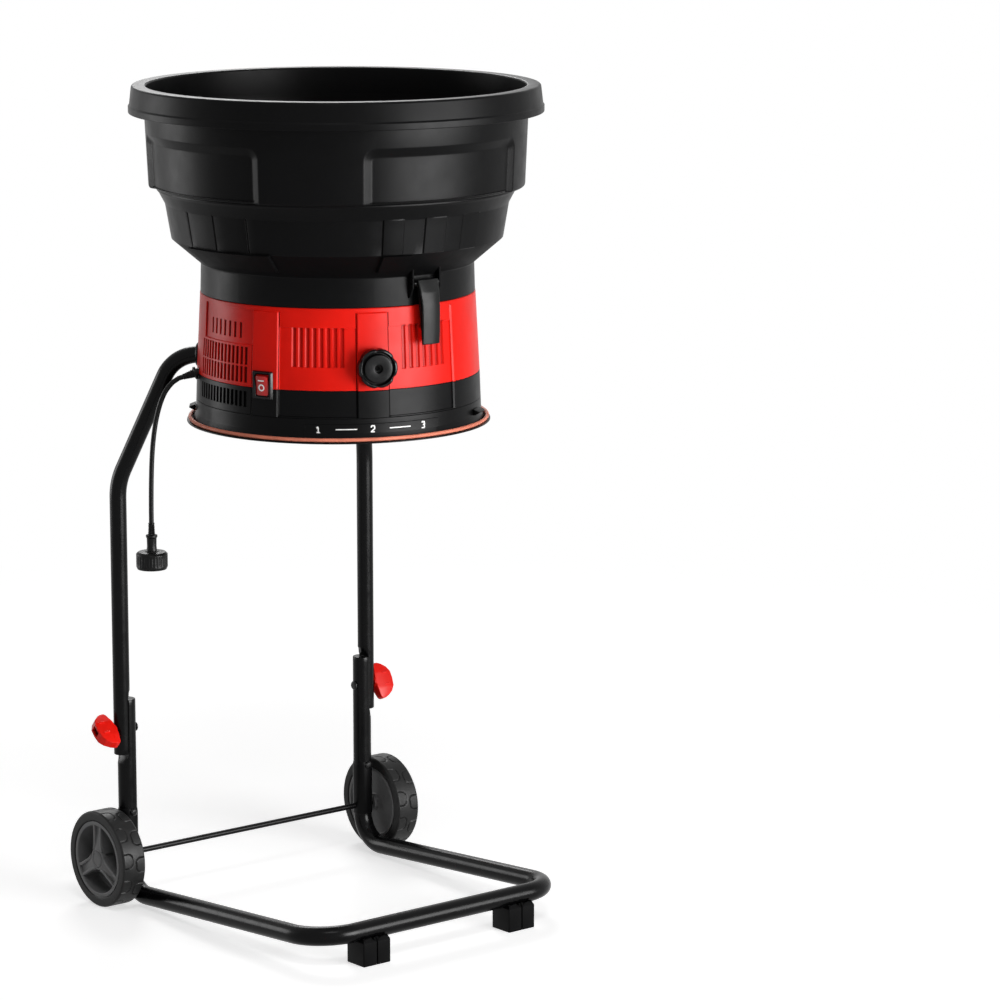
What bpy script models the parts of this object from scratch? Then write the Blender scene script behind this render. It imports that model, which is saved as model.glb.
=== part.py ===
"""Electric leaf mulcher on a wheeled tube stand, in metres, +Z up.

The origin is on the floor under the housing's axis. The front is -Y, and azimuths
are degrees round +Z from the front, positive towards +X.
"""

import math

import bmesh
import bpy
from mathutils import Matrix, Vector

# Clearances
SEAT_GAP = 0.0003
RUN_GAP = 0.0005

# Facets round the large turned pieces, the small ones and the tubes
BIG_STEPS = 48
WHEEL_STEPS = 32
SMALL_STEPS = 24
MOTOR_STEPS = 20
TUBE_RESOLUTION = 2

# Housing. The heights go up from its foot and the radii out from its top edge
HOUSING_FOOT_Z = 0.7777
HOUSING_RADIUS = 0.2000
HOUSING_WALL = 0.0030
BLACK_HEIGHT = 0.0391
BLACK_TAPER = 0.0015
RED_HEIGHT = 0.1168
RED_TAPER = 0.0060
SPIGOT_HEIGHT = 0.0180
SPIGOT_WALL = 0.0028
INNER_SPIGOT_HEIGHT = 0.0095
GUIDE_DEPTH = 0.0137
GUIDE_WALL = 0.0024

# Hopper collar, from the housing's top upwards
COLLAR_WALL = 0.0030
NECK_INSET = 0.0005
NECK_HEIGHT = 0.0425
NECK_TAPER = 0.0012
CONE_HEIGHT = 0.0362
CONE_SPREAD = 0.0422
BAND_HEIGHT = 0.0511
BAND_SPREAD = 0.0086
SHOULDER_HEIGHT = 0.0166
SHOULDER_SPREAD = 0.0089
LEDGE_HEIGHT = 0.0060
LEDGE_EDGE = 0.0025
LEDGE_SPREAD = 0.0030
LEDGE_LAP = 0.0015

# Hopper bowl, from the collar's ledge upwards
BOWL_WALL = 0.0030
BOWL_STEP = 0.0081
BOWL_TAPER = 0.0049
BOWL_HEIGHT = 0.1433
BOWL_FLOOR_WIDTH = 0.0211
RIM_WIDTH = 0.0260
RIM_HEIGHT = 0.0390
RIM_TAPER = 0.0050
RIM_ROUND = 0.0020
PANEL_DROP = 0.0336
PANEL_EDGE = 0.0100
PANEL_DEPTH = 0.0035
PANEL_HALF_ANGLE = 27.0
PANEL_CENTRES = (0.0, 90.0, 180.0, 270.0)

# Adjusting ring with the bag lip, from the housing's foot downwards
RING_TAPER = 0.0008
RING_HEIGHT = 0.0257
RING_FLARE = 0.0020
RING_RUN_GAP = 0.0013
LIP_DROP = 0.0050
LIP_FALL = 0.0018
LIP_REACH = 0.0133
LIP_THICKNESS = 0.0028
BAG_BAND_INSET = 0.0048
BAG_BAND_THICKNESS = 0.0055
HOOK_AZIMUTHS = {"left": -127.0, "right": 35.0}
HOOK_WIDTH = 0.0280
HOOK_HEIGHT = 0.0090
HOOK_REACH = 0.0095
HOOK_RISE = 0.0070
HOOK_WALL = 0.0030

# Latches. The pin stands off the neck, and the lever hangs from it
LATCH_AZIMUTHS = {"front": 0.0, "rear": 180.0}
LATCH_PIN_RADIUS = 0.0018
LATCH_PIN_STANDOFF = 0.0055
LATCH_PIN_RISE = 0.0319
LATCH_WIDTH = 0.0320
LATCH_DROP = 0.0844
LATCH_REACH = 0.0160
LATCH_THICKNESS = 0.0045
LATCH_KNUCKLE = 0.0040
EAR_SPREAD = 0.0226
EAR_THICKNESS = 0.0030
EAR_RISE = 0.0205
EAR_DROP = 0.0170
EAR_REACH = 0.0035
CATCH_WIDTH = 0.0220
CATCH_HEIGHT = 0.0160
CATCH_RISE = 0.0043

# Depth knob
KNOB_AZIMUTH = -22.6
KNOB_RISE = 0.0337
KNOB_RADIUS = 0.0284
KNOB_LENGTH = 0.0190
KNOB_LOBES = 6
KNOB_LOBE_DEPTH = 0.0016
KNOB_RECESS_RADIUS = 0.0058
KNOB_RECESS_DEPTH = 0.0080
STUD_RADIUS = 0.0030
STUD_RECESS = 0.0090
STUD_HEAD_RADIUS = 0.0070
STUD_HEAD_THICKNESS = 0.0040
BOSS_RADIUS = 0.0190
BOSS_HEIGHT = 0.0039

# Switch
SWITCH_AZIMUTH = -68.4
SWITCH_RISE = 0.0048
BEZEL_WIDTH = 0.0340
BEZEL_HEIGHT = 0.0410
BEZEL_BORDER = 0.0020
BEZEL_FLANGE = 0.0040
BEZEL_DEPTH = 0.0185
BEZEL_FLOOR = 0.0080
ROCKER_WIDTH = 0.0208
ROCKER_HEIGHT = 0.0290
ROCKER_DEPTH = 0.0070
ROCKER_KEEL = 0.0030
ROCKER_PIVOT_DEPTH = 0.0027
ROCKER_TILT = 6.0

# Cord, gland and plug
GLAND_AZIMUTH = -117.1
GLAND_RISE = 0.0021
GLAND_DROOP = 16.0
GLAND_LENGTH = 0.0230
GLAND_INSIDE = 0.0080
GLAND_STEM_RADIUS = 0.0060
GLAND_FLANGE_RADIUS = 0.0095
GLAND_FLANGE = 0.0035
GLAND_SEAT = 0.0030
GLAND_TIP_WALL = 0.0012
GLAND_ROOT_WALL = 0.0034
CORD_RADIUS = 0.0036
CORD_POINT_SPACING = 0.0180
PLUG_R = 0.2780
SLEEVE_TOP_Z = 0.5990
SLEEVE_RADIUS = 0.0052
SLEEVE_LENGTH = 0.0190
NECK_LENGTH = 0.0217
NECK_RADIUS = 0.0070
NECK_RING_RADIUS = 0.0085
NECK_RING_HEIGHT = 0.0015
CAP_HEIGHT = 0.0270
CAP_RADIUS = 0.0230
CAP_WALL = 0.0030
CAP_EDGE = 0.0010
CAP_DEPTH = 0.0150
BLADE_SIZE = (0.0015, 0.0063, 0.0120)
BLADE_SPACING = 0.0127
GROUND_PIN_RADIUS = 0.0024
GROUND_PIN_OFFSET = 0.0100

# Lower frame. The height of its front and back runs is that of the tube's middle
FRAME_RADIUS = 0.0140
FRAME_WALL = 0.0016
FRAME_X = 0.2217
FRAME_BACK_Y = 0.2384
FRAME_FRONT_Y = -0.2389
FRAME_TOP_Z = 0.3119
FRAME_BACK_Z = 0.0137
FRAME_FRONT_Z = 0.0480
FRAME_HEEL_BEND = 0.0450
FRAME_CORNER_BEND = 0.0620

# Lap joints. Both tubes are pressed flat where they meet
LAP_OFFSET = 0.0080
LAP_FACE_OFFSET = 0.0045
LAP_BOLT_DROP = 0.0454
LAP_BOLT_RADIUS = 0.0030
LAP_HEAD_RADIUS = 0.0070
LAP_HEAD_THICKNESS = 0.0036
LAP_RELIEF = 0.0040
LAP_RUNOUT = 0.0120
WING_LENGTH = 0.0540
WING_DEPTH = 0.0325
WING_SHOULDER = 0.0040
WING_THICKNESS = 0.0120
WING_STEM_RADIUS = 0.0080
WING_STEM_LENGTH = 0.0015
WING_BOLT_ENTRY = 0.0120
WING_TILTS = {"left": 39.3, "right": 65.7}

# Upper legs
LEG_RADIUS = 0.0125
LEG_WALL = 0.0015
LEG_LAP = 0.0385
LEG_RISE = 0.0172
LEG_INSERT = 0.0440
LEG_ELBOW_STANDOFF = 0.0372
LEG_KNEE_DROP = 0.1930
LEG_KNEE_BEND = 0.1000
LEG_ELBOW_BEND = 0.0560
SOCKET_WALL = 0.0050
SOCKET_LENGTH = 0.0430

# Wheels, axle and brackets
WHEEL_RADIUS = 0.0726
WHEEL_WIDTH = 0.0392
WHEEL_TRAIL = 0.0016
TYRE_THICKNESS = 0.0149
TYRE_EDGE = 0.0022
RIM_RING_WIDTH = 0.0380
RIM_RING_THICKNESS = 0.0060
DISC_THICKNESS = 0.0035
DISC_INSET = 0.0076
SPOKE_INSET = 0.0040
HUB_RADIUS = 0.0120
HUB_SKIRT = 0.0060
HUB_CAP_THICKNESS = 0.0030
SPOKE_COUNT = 3
SPOKE_HALF_ANGLE = 11.0
AXLE_RADIUS = 0.0044
BRACKET_SIZE = 0.0330
BRACKET_HEIGHT = 0.0880
BRACKET_BELOW_AXLE = 0.0126
BRACKET_OUTER_WALL = 0.0029
BRACKET_BOLT_DROP = 0.0090
BRACKET_BOLT_RADIUS = 0.0030
BRACKET_HEAD_RADIUS = 0.0055
BRACKET_HEAD_THICKNESS = 0.0030

# Feet
FOOT_X = 0.1342
FOOT_WIDTH = 0.0487
FOOT_DEPTH = 0.0400
FOOT_SADDLE = 0.0070
FOOT_BEVEL = 0.0050
FOOT_GROOVE = 0.0020

# Motor and cutting head. The pod's foot is measured down from the housing's
POD_RADIUS = 0.0620
POD_WALL = 0.0030
POD_DROP = 0.0357
POD_HEIGHT = 0.1310
POD_EDGE = 0.0060
POD_BOSS_RADIUS = 0.0180
POD_BOSS_HEIGHT = 0.0060
SHAFT_RADIUS = 0.0060
SHAFT_RUN_GAP = 0.0008
SHAFT_END = 0.0020
BEARING_RADIUS = 0.0130
BEARING_HEIGHT = 0.0074
BEARING_COLLAR_WALL = 0.0027
STATOR_RISE = 0.0330
STATOR_HEIGHT = 0.0650
AIR_GAP = 0.0010
STATOR_THICKNESS = 0.0237
ARMATURE_OVERHANG = 0.0040
FAN_RADIUS = 0.0500
FAN_GAP = 0.0050
FAN_HEIGHT = 0.0090
FAN_BLADES = 7
SPIDER_DROP = 0.0017
SPIDER_HEIGHT = 0.0240
SPIDER_RING_WALL = 0.0070
SPIDER_ARM_THICKNESS = 0.0120
SPIDER_ARM_INSET = 0.0010
SPIDER_AZIMUTHS = (45.0, 135.0, 225.0, 315.0)
HEAD_RADIUS = 0.0450
HEAD_HEIGHT = 0.0240
HEAD_GAP = 0.0030
HEAD_EDGE = 0.0060
LINE_RADIUS = 0.0012
LINE_WALL_GAP = 0.0160
LINE_OFFSET_Y = 0.0220
NUT_RADIUS = 0.0090
NUT_HEIGHT = 0.0070

# Heights and radii of the stack, worked out from the sizes above
RED_FOOT_Z = HOUSING_FOOT_Z + BLACK_HEIGHT
RED_TOP_Z = RED_FOOT_Z + RED_HEIGHT
NECK_TOP_Z = RED_TOP_Z + NECK_HEIGHT
BAND_FOOT_Z = NECK_TOP_Z + CONE_HEIGHT
BAND_TOP_Z = BAND_FOOT_Z + BAND_HEIGHT
SHOULDER_Z = BAND_TOP_Z + SHOULDER_HEIGHT
LEDGE_TOP_Z = SHOULDER_Z + LEDGE_HEIGHT
BOWL_FLOOR_Z = LEDGE_TOP_Z + SEAT_GAP + BOWL_WALL
RIM_TOP_Z = BOWL_FLOOR_Z + BOWL_HEIGHT
RING_FLARE_Z = HOUSING_FOOT_Z - RING_HEIGHT
LIP_TOP_Z = RING_FLARE_Z - LIP_DROP
LIP_EDGE_Z = LIP_TOP_Z - LIP_FALL

RED_FOOT_RADIUS = HOUSING_RADIUS + RED_TAPER
RED_INNER_RADIUS = RED_FOOT_RADIUS - HOUSING_WALL
SPIGOT_OUTER_RADIUS = RED_INNER_RADIUS - RUN_GAP
GUIDE_INNER_RADIUS = SPIGOT_OUTER_RADIUS - GUIDE_WALL
BLACK_FOOT_RADIUS = RED_FOOT_RADIUS + BLACK_TAPER
RING_RADIUS = BLACK_FOOT_RADIUS + RING_TAPER
LIP_RADIUS = RING_RADIUS + LIP_REACH
NECK_FOOT_RADIUS = HOUSING_RADIUS - NECK_INSET
NECK_TOP_RADIUS = NECK_FOOT_RADIUS - NECK_TAPER
BAND_FOOT_RADIUS = NECK_TOP_RADIUS + CONE_SPREAD
BAND_TOP_RADIUS = BAND_FOOT_RADIUS + BAND_SPREAD
SHOULDER_RADIUS = BAND_TOP_RADIUS + SHOULDER_SPREAD
LEDGE_RADIUS = SHOULDER_RADIUS + LEDGE_SPREAD
BOWL_FOOT_RADIUS = LEDGE_RADIUS + BOWL_STEP
BOWL_TOP_RADIUS = BOWL_FOOT_RADIUS + BOWL_TAPER
BOWL_HOLE_RADIUS = BOWL_FOOT_RADIUS - BOWL_FLOOR_WIDTH
RIM_RADIUS = BOWL_TOP_RADIUS + RIM_WIDTH

# Places of the pieces that sit on the housing
LATCH_PIN_R = NECK_FOOT_RADIUS + LATCH_PIN_STANDOFF
LATCH_PIN_Z = RED_TOP_Z + LATCH_PIN_RISE
KNOB_Z = RED_FOOT_Z + KNOB_RISE
SWITCH_Z = RED_FOOT_Z + SWITCH_RISE
GLAND_Z = RED_FOOT_Z + GLAND_RISE
LEG_TOP_Z = RED_FOOT_Z + LEG_RISE

# Places on the stand
LEG_X = FRAME_X + LAP_OFFSET
LEG_Y = FRAME_BACK_Y
LAP_PLANE_X = FRAME_X + LAP_FACE_OFFSET
LAP_Z = FRAME_TOP_Z - LAP_BOLT_DROP
LEG_FOOT_Z = LAP_Z - LEG_LAP
WHEEL_Y = FRAME_BACK_Y + WHEEL_TRAIL
BRACKET_OUTER_X = FRAME_X + FRAME_RADIUS + BRACKET_OUTER_WALL
WHEEL_OUTER_X = BRACKET_OUTER_X + RUN_GAP + WHEEL_WIDTH
BRACKET_FOOT_Z = WHEEL_RADIUS - BRACKET_BELOW_AXLE
BRACKET_BOLT_Z = BRACKET_FOOT_Z + BRACKET_HEIGHT - BRACKET_BOLT_DROP

# Levels of the motor
POD_FOOT_Z = HOUSING_FOOT_Z - POD_DROP
POD_TOP_Z = POD_FOOT_Z + POD_HEIGHT
HEAD_FOOT_Z = POD_TOP_Z + POD_BOSS_HEIGHT + HEAD_GAP
HEAD_TOP_Z = HEAD_FOOT_Z + HEAD_HEIGHT
LINE_Z = (HEAD_FOOT_Z + HEAD_TOP_Z) / 2
NUT_FOOT_Z = HEAD_TOP_Z + SEAT_GAP

# The flats of a large turned ring lie this share of its radius from the axis
FLAT_SHARE = math.cos(math.pi / BIG_STEPS)

COLOURS = {
    "hopper_black": ((0.022, 0.022, 0.024), 0.42, 0.0),
    "housing_black": ((0.020, 0.020, 0.021), 0.45, 0.0),
    "housing_red": ((0.72, 0.022, 0.014), 0.38, 0.0),
    "band_salmon": ((0.80, 0.20, 0.11), 0.50, 0.0),
    "knob_black": ((0.018, 0.018, 0.018), 0.40, 0.0),
    "switch_red": ((0.65, 0.015, 0.015), 0.25, 0.0),
    "tube_black": ((0.012, 0.012, 0.012), 0.22, 0.6),
    "wing_red": ((0.80, 0.020, 0.015), 0.35, 0.0),
    "tyre_black": ((0.020, 0.020, 0.020), 0.60, 0.0),
    "wheel_grey": ((0.085, 0.085, 0.088), 0.45, 0.0),
    "cord_black": ((0.015, 0.015, 0.015), 0.40, 0.0),
    "steel": ((0.55, 0.55, 0.56), 0.30, 1.0),
    "brass": ((0.75, 0.55, 0.25), 0.30, 1.0),
    "motor_grey": ((0.25, 0.25, 0.26), 0.50, 0.3),
    "line_orange": ((0.90, 0.15, 0.02), 0.40, 0.0),
}


def clear_scene():
    for obj in list(bpy.data.objects):
        bpy.data.objects.remove(obj, do_unlink=True)


def new_collection(name):
    collection = bpy.data.collections.new(name)
    bpy.context.scene.collection.children.link(collection)
    return collection


clear_scene()
PARTS = new_collection("leaf_mulcher")
CUTTERS = new_collection("cutters")


def make_materials():
    for name, (colour, roughness, metallic) in COLOURS.items():
        material = bpy.data.materials.new(name)
        material.use_nodes = True
        shader = material.node_tree.nodes["Principled BSDF"]
        shader.inputs["Base Color"].default_value = (*colour, 1.0)
        shader.inputs["Roughness"].default_value = roughness
        shader.inputs["Metallic"].default_value = metallic
        material.diffuse_color = (*colour, 1.0)


def link_object(name, data, material=None):
    """A new object, in the parts with a material, or a hidden helper without one."""
    obj = bpy.data.objects.new(name, data)
    if material:
        PARTS.objects.link(obj)
        data.materials.append(bpy.data.materials[material])
    else:
        CUTTERS.objects.link(obj)
        obj.hide_render = True
        obj.display_type = "WIRE"
    return obj


def place(obj, location, direction=(0, 0, 1), roll=0.0):
    """Puts the object's own origin at location with its +Z along direction."""
    turn = Vector(direction).to_track_quat("Z", "Y").to_matrix().to_4x4()
    obj.matrix_world = Matrix.Translation(location) @ turn @ Matrix.Rotation(roll, 4, "Z")
    return obj


def radial(azimuth):
    angle = math.radians(azimuth)
    return Vector((math.sin(angle), -math.cos(angle), 0.0))


def on_wall(azimuth, radius, z):
    return radial(azimuth) * radius + Vector((0.0, 0.0, z))


def wall_matrix(azimuth, radius, z):
    """Local X runs round the wall, local Y up and local Z outwards."""
    out = radial(azimuth)
    up = Vector((0.0, 0.0, 1.0))
    across = up.cross(out)
    turn = Matrix((across, up, out)).transposed().to_4x4()
    return Matrix.Translation(on_wall(azimuth, radius, z)) @ turn


def box(name, low, high, material=None):
    """A box between two corners, with its origin at the world's."""
    bm = bmesh.new()
    size = [b - a for a, b in zip(low, high)]
    middle = [(a + b) / 2 for a, b in zip(low, high)]
    bmesh.ops.create_cube(bm, size=1.0)
    bmesh.ops.scale(bm, vec=size, verts=bm.verts)
    bmesh.ops.translate(bm, vec=middle, verts=bm.verts)
    mesh = bpy.data.meshes.new(name)
    bm.to_mesh(mesh)
    bm.free()
    return link_object(name, mesh, material)


def cylinder(name, radius, low, high, material=None, steps=SMALL_STEPS, top_radius=None):
    """A cylinder or cone along its own Z from low to high."""
    bm = bmesh.new()
    bmesh.ops.create_cone(
        bm,
        cap_ends=True,
        segments=steps,
        radius1=radius,
        radius2=radius if top_radius is None else top_radius,
        depth=high - low,
    )
    bmesh.ops.translate(bm, vec=(0, 0, (low + high) / 2), verts=bm.verts)
    mesh = bpy.data.meshes.new(name)
    bm.to_mesh(mesh)
    bm.free()
    smooth(mesh)
    return link_object(name, mesh, material)


def smooth(mesh):
    mesh.shade_smooth()
    mesh.set_sharp_from_angle(angle=math.radians(35))


def profile_mesh(name, points, closed):
    edges = [(i, i + 1) for i in range(len(points) - 1)]
    if closed:
        edges.append((len(points) - 1, 0))
    mesh = bpy.data.meshes.new(name)
    mesh.from_pydata([(r, 0.0, z) for r, z in points], edges, [])
    return mesh


def screw(obj, steps):
    turned = obj.modifiers.new("turn", "SCREW")
    turned.steps = steps
    turned.render_steps = steps
    turned.use_merge_vertices = True
    turned.merge_threshold = 0.00002
    turned.use_smooth_shade = True


def turned(name, points, material=None, steps=SMALL_STEPS, closed=True):
    """A solid of revolution round its own Z. The profile runs down the outer side."""
    obj = link_object(name, profile_mesh(name, points, closed), material)
    screw(obj, steps)
    return obj


def ring(name, inner, outer, low, high, material=None, steps=SMALL_STEPS):
    points = [(outer, high), (outer, low), (inner, low), (inner, high)]
    return turned(name, points, material, steps)


def baked(obj):
    """The object with its modifiers applied, under the same name and transform."""
    bpy.context.view_layer.update()
    graph = bpy.context.evaluated_depsgraph_get()
    mesh = bpy.data.meshes.new_from_object(obj.evaluated_get(graph))
    if obj.type == "CURVE":
        bm = bmesh.new()
        bm.from_mesh(mesh)
        bmesh.ops.remove_doubles(bm, verts=bm.verts, dist=0.00001)
        bm.to_mesh(mesh)
        bm.free()
    name, matrix, collection = obj.name, obj.matrix_world.copy(), obj.users_collection[0]
    hidden = obj.hide_render
    bpy.data.objects.remove(obj, do_unlink=True)
    solid = bpy.data.objects.new(name, mesh)
    collection.objects.link(solid)
    solid.matrix_world = matrix
    solid.hide_render = hidden
    if hidden:
        solid.display_type = "WIRE"
    return solid


def shell(name, points, wall, outwards, material, steps=BIG_STEPS):
    """A turned open sheet, given its wall on the outer or the inner side."""
    obj = baked(turned(name, points, material, steps, closed=False))
    thicken(obj, wall, outwards)
    return obj


def thicken(obj, wall, outwards):
    solid = obj.modifiers.new("wall", "SOLIDIFY")
    solid.thickness = wall
    solid.offset = 1.0 if outwards else -1.0
    solid.use_even_offset = True
    solid.use_rim = True


def combine(obj, other, operation):
    step = obj.modifiers.new(other.name, "BOOLEAN")
    step.operation = operation
    step.object = other
    step.solver = "EXACT"


def cut(obj, *others):
    for other in others:
        combine(obj, other, "DIFFERENCE")


def join(obj, *others):
    for other in others:
        combine(obj, other, "UNION")


def outline(name, loops, low, high, material=None):
    """A flat outline, with any holes as further loops, from low to high on its own Z."""
    curve = bpy.data.curves.new(name, "CURVE")
    curve.dimensions = "2D"
    curve.fill_mode = "BOTH"
    curve.extrude = (high - low) / 2
    for points in loops:
        spline = curve.splines.new("POLY")
        spline.points.add(len(points) - 1)
        for point, (x, y) in zip(spline.points, points):
            point.co = (x, y, 0.0, 1.0)
        spline.use_cyclic_u = True
    obj = link_object(name, curve, material)
    solid = baked(obj)
    solid.data.transform(Matrix.Translation((0.0, 0.0, (low + high) / 2)))
    if material:
        smooth(solid.data)
    return solid


def circle_points(radius, steps):
    turn = 2 * math.pi / steps
    return [(radius * math.cos(i * turn), radius * math.sin(i * turn)) for i in range(steps)]


def fillet_path(corners, bends, step_angle=16.0):
    """The polyline through the corners, each inner corner rounded to its bend radius."""
    path = [Vector(corners[0])]
    for before, corner, after, bend in zip(corners, corners[1:], corners[2:], bends):
        corner = Vector(corner)
        back = (Vector(before) - corner).normalized()
        ahead = (Vector(after) - corner).normalized()
        turn = math.pi - back.angle(ahead)
        reach = bend * math.tan(turn / 2)
        centre = corner + (back + ahead).normalized() * (bend / math.cos(turn / 2))
        start = corner + back * reach - centre
        axis = start.cross(corner + ahead * reach - centre).normalized()
        count = max(2, math.ceil(math.degrees(turn) / step_angle))
        for i in range(count + 1):
            path.append(centre + Matrix.Rotation(turn * i / count, 3, axis) @ start)
    path.append(Vector(corners[-1]))
    return path


def tube_curve(name, points, radius, material, caps, resolution=TUBE_RESOLUTION):
    curve = bpy.data.curves.new(name, "CURVE")
    curve.dimensions = "3D"
    curve.bevel_depth = radius
    curve.bevel_resolution = resolution
    curve.use_fill_caps = caps
    spline = curve.splines.new("POLY")
    spline.points.add(len(points) - 1)
    for point, place_at in zip(spline.points, points):
        point.co = (*place_at, 1.0)
    return link_object(name, curve, material)


def hollow_tube(name, points, radius, wall, material, press=None):
    """A round tube along the points. press moves the points of a flattened stretch."""
    tube = baked(tube_curve(name, points, radius, material, caps=False))
    if press:
        for vertex in tube.data.vertices:
            press(vertex.co)
    smooth(tube.data)
    thicken(tube, wall, outwards=False)
    return tube


def black_shell_radius(z):
    return RED_FOOT_RADIUS + BLACK_TAPER * (RED_FOOT_Z - z) / BLACK_HEIGHT


def red_shell_radius(z):
    return HOUSING_RADIUS + RED_TAPER * (RED_TOP_Z - z) / RED_HEIGHT


def angle_off(azimuth, centre):
    return (azimuth - centre + 180.0) % 360.0 - 180.0


def make_bowl():
    rim_foot_z = RIM_TOP_Z - RIM_HEIGHT
    panel_top_z = rim_foot_z - PANEL_DROP
    slope = BOWL_TAPER / (rim_foot_z - BOWL_FLOOR_Z)

    def wall_radius(z):
        return BOWL_FOOT_RADIUS + (z - BOWL_FLOOR_Z) * slope

    points = [
        (RIM_RADIUS, rim_foot_z),
        (RIM_RADIUS - RIM_TAPER, RIM_TOP_Z - RIM_ROUND),
        (RIM_RADIUS - RIM_TAPER - RIM_ROUND, RIM_TOP_Z),
        (BOWL_TOP_RADIUS + RIM_ROUND, RIM_TOP_Z),
        (BOWL_TOP_RADIUS, RIM_TOP_Z - RIM_ROUND),
        (BOWL_TOP_RADIUS, rim_foot_z),
        (wall_radius(panel_top_z), panel_top_z),
        (wall_radius(panel_top_z - PANEL_EDGE), panel_top_z - PANEL_EDGE),
        (BOWL_FOOT_RADIUS, BOWL_FLOOR_Z),
        (BOWL_HOLE_RADIUS, BOWL_FLOOR_Z),
    ]
    bowl = baked(turned("hopper_bowl", points, "hopper_black", BIG_STEPS, closed=False))
    for vertex in bowl.data.vertices:
        sink_panel(vertex, panel_top_z - PANEL_EDGE / 2)
    smooth(bowl.data)
    thicken(bowl, BOWL_WALL, outwards=True)
    return bowl


def sink_panel(vertex, panel_top_z):
    """Pushes the bowl's wall in over each panel, and squares up the panel's side edges."""
    column = 360.0 / BIG_STEPS
    inside = math.floor(PANEL_HALF_ANGLE / column) * column
    azimuth = math.degrees(math.atan2(vertex.co.x, -vertex.co.y))
    radius = math.hypot(vertex.co.x, vertex.co.y)
    off = min((angle_off(azimuth, c) for c in PANEL_CENTRES), key=abs)
    on_the_wall = radius > (BOWL_HOLE_RADIUS + BOWL_FOOT_RADIUS) / 2
    if abs(off) > inside + column / 4 or vertex.co.z > panel_top_z or not on_the_wall:
        return
    turned_by = 0.0
    if abs(off) > inside - column / 4:
        turned_by = math.copysign(PANEL_HALF_ANGLE - inside, off)
    out = radial(azimuth + turned_by) * (radius - PANEL_DEPTH)
    vertex.co.x, vertex.co.y = out.x, out.y


def make_collar():
    points = [
        (BOWL_HOLE_RADIUS - LEDGE_LAP, LEDGE_TOP_Z),
        (LEDGE_RADIUS, LEDGE_TOP_Z),
        (LEDGE_RADIUS, LEDGE_TOP_Z - LEDGE_EDGE),
        (SHOULDER_RADIUS, SHOULDER_Z),
        (BAND_TOP_RADIUS, BAND_TOP_Z),
        (BAND_FOOT_RADIUS, BAND_FOOT_Z),
        (NECK_TOP_RADIUS, NECK_TOP_Z),
        (NECK_FOOT_RADIUS, RED_TOP_Z + SEAT_GAP),
    ]
    collar = shell("hopper_collar", points, COLLAR_WALL, False, "hopper_black")
    in_wall = NECK_TOP_RADIUS - COLLAR_WALL / 3
    cone_slope = CONE_SPREAD / CONE_HEIGHT
    ear_top_z = LATCH_PIN_Z + EAR_RISE
    cone_at_ear = NECK_TOP_RADIUS + (ear_top_z - NECK_TOP_Z) * cone_slope
    ear_points = [
        (in_wall, LATCH_PIN_Z - EAR_DROP),
        (in_wall, NECK_TOP_Z - COLLAR_WALL / 5),
        (cone_at_ear - COLLAR_WALL / 2, ear_top_z),
        (max(cone_at_ear, LATCH_PIN_R) + EAR_THICKNESS / 2, ear_top_z),
        (LATCH_PIN_R + EAR_REACH, LATCH_PIN_Z - LATCH_PIN_RADIUS),
        (LATCH_PIN_R - EAR_REACH / 2, LATCH_PIN_Z - EAR_DROP),
    ]
    half = EAR_SPREAD
    for side, azimuth in LATCH_AZIMUTHS.items():
        for hand, low in (("left", -half - EAR_THICKNESS), ("right", half)):
            ear = outline(f"ear_{side}_{hand}", [ear_points], low, low + EAR_THICKNESS)
            stand_up(ear, azimuth)
            join(collar, ear)
        reach = half + 2 * EAR_THICKNESS
        hole = cylinder(f"ear_hole_{side}", LATCH_PIN_RADIUS + SEAT_GAP, -reach, reach, steps=12)
        place(hole, on_wall(azimuth, LATCH_PIN_R, LATCH_PIN_Z), radial(azimuth + 90))
        cut(collar, hole)
    return collar


def stand_up(obj, azimuth):
    """Turns an outline drawn as (radius, height) to stand on the radial plane."""
    out = radial(azimuth)
    up = Vector((0.0, 0.0, 1.0))
    obj.matrix_world = Matrix((out, up, out.cross(up))).transposed().to_4x4()


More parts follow.
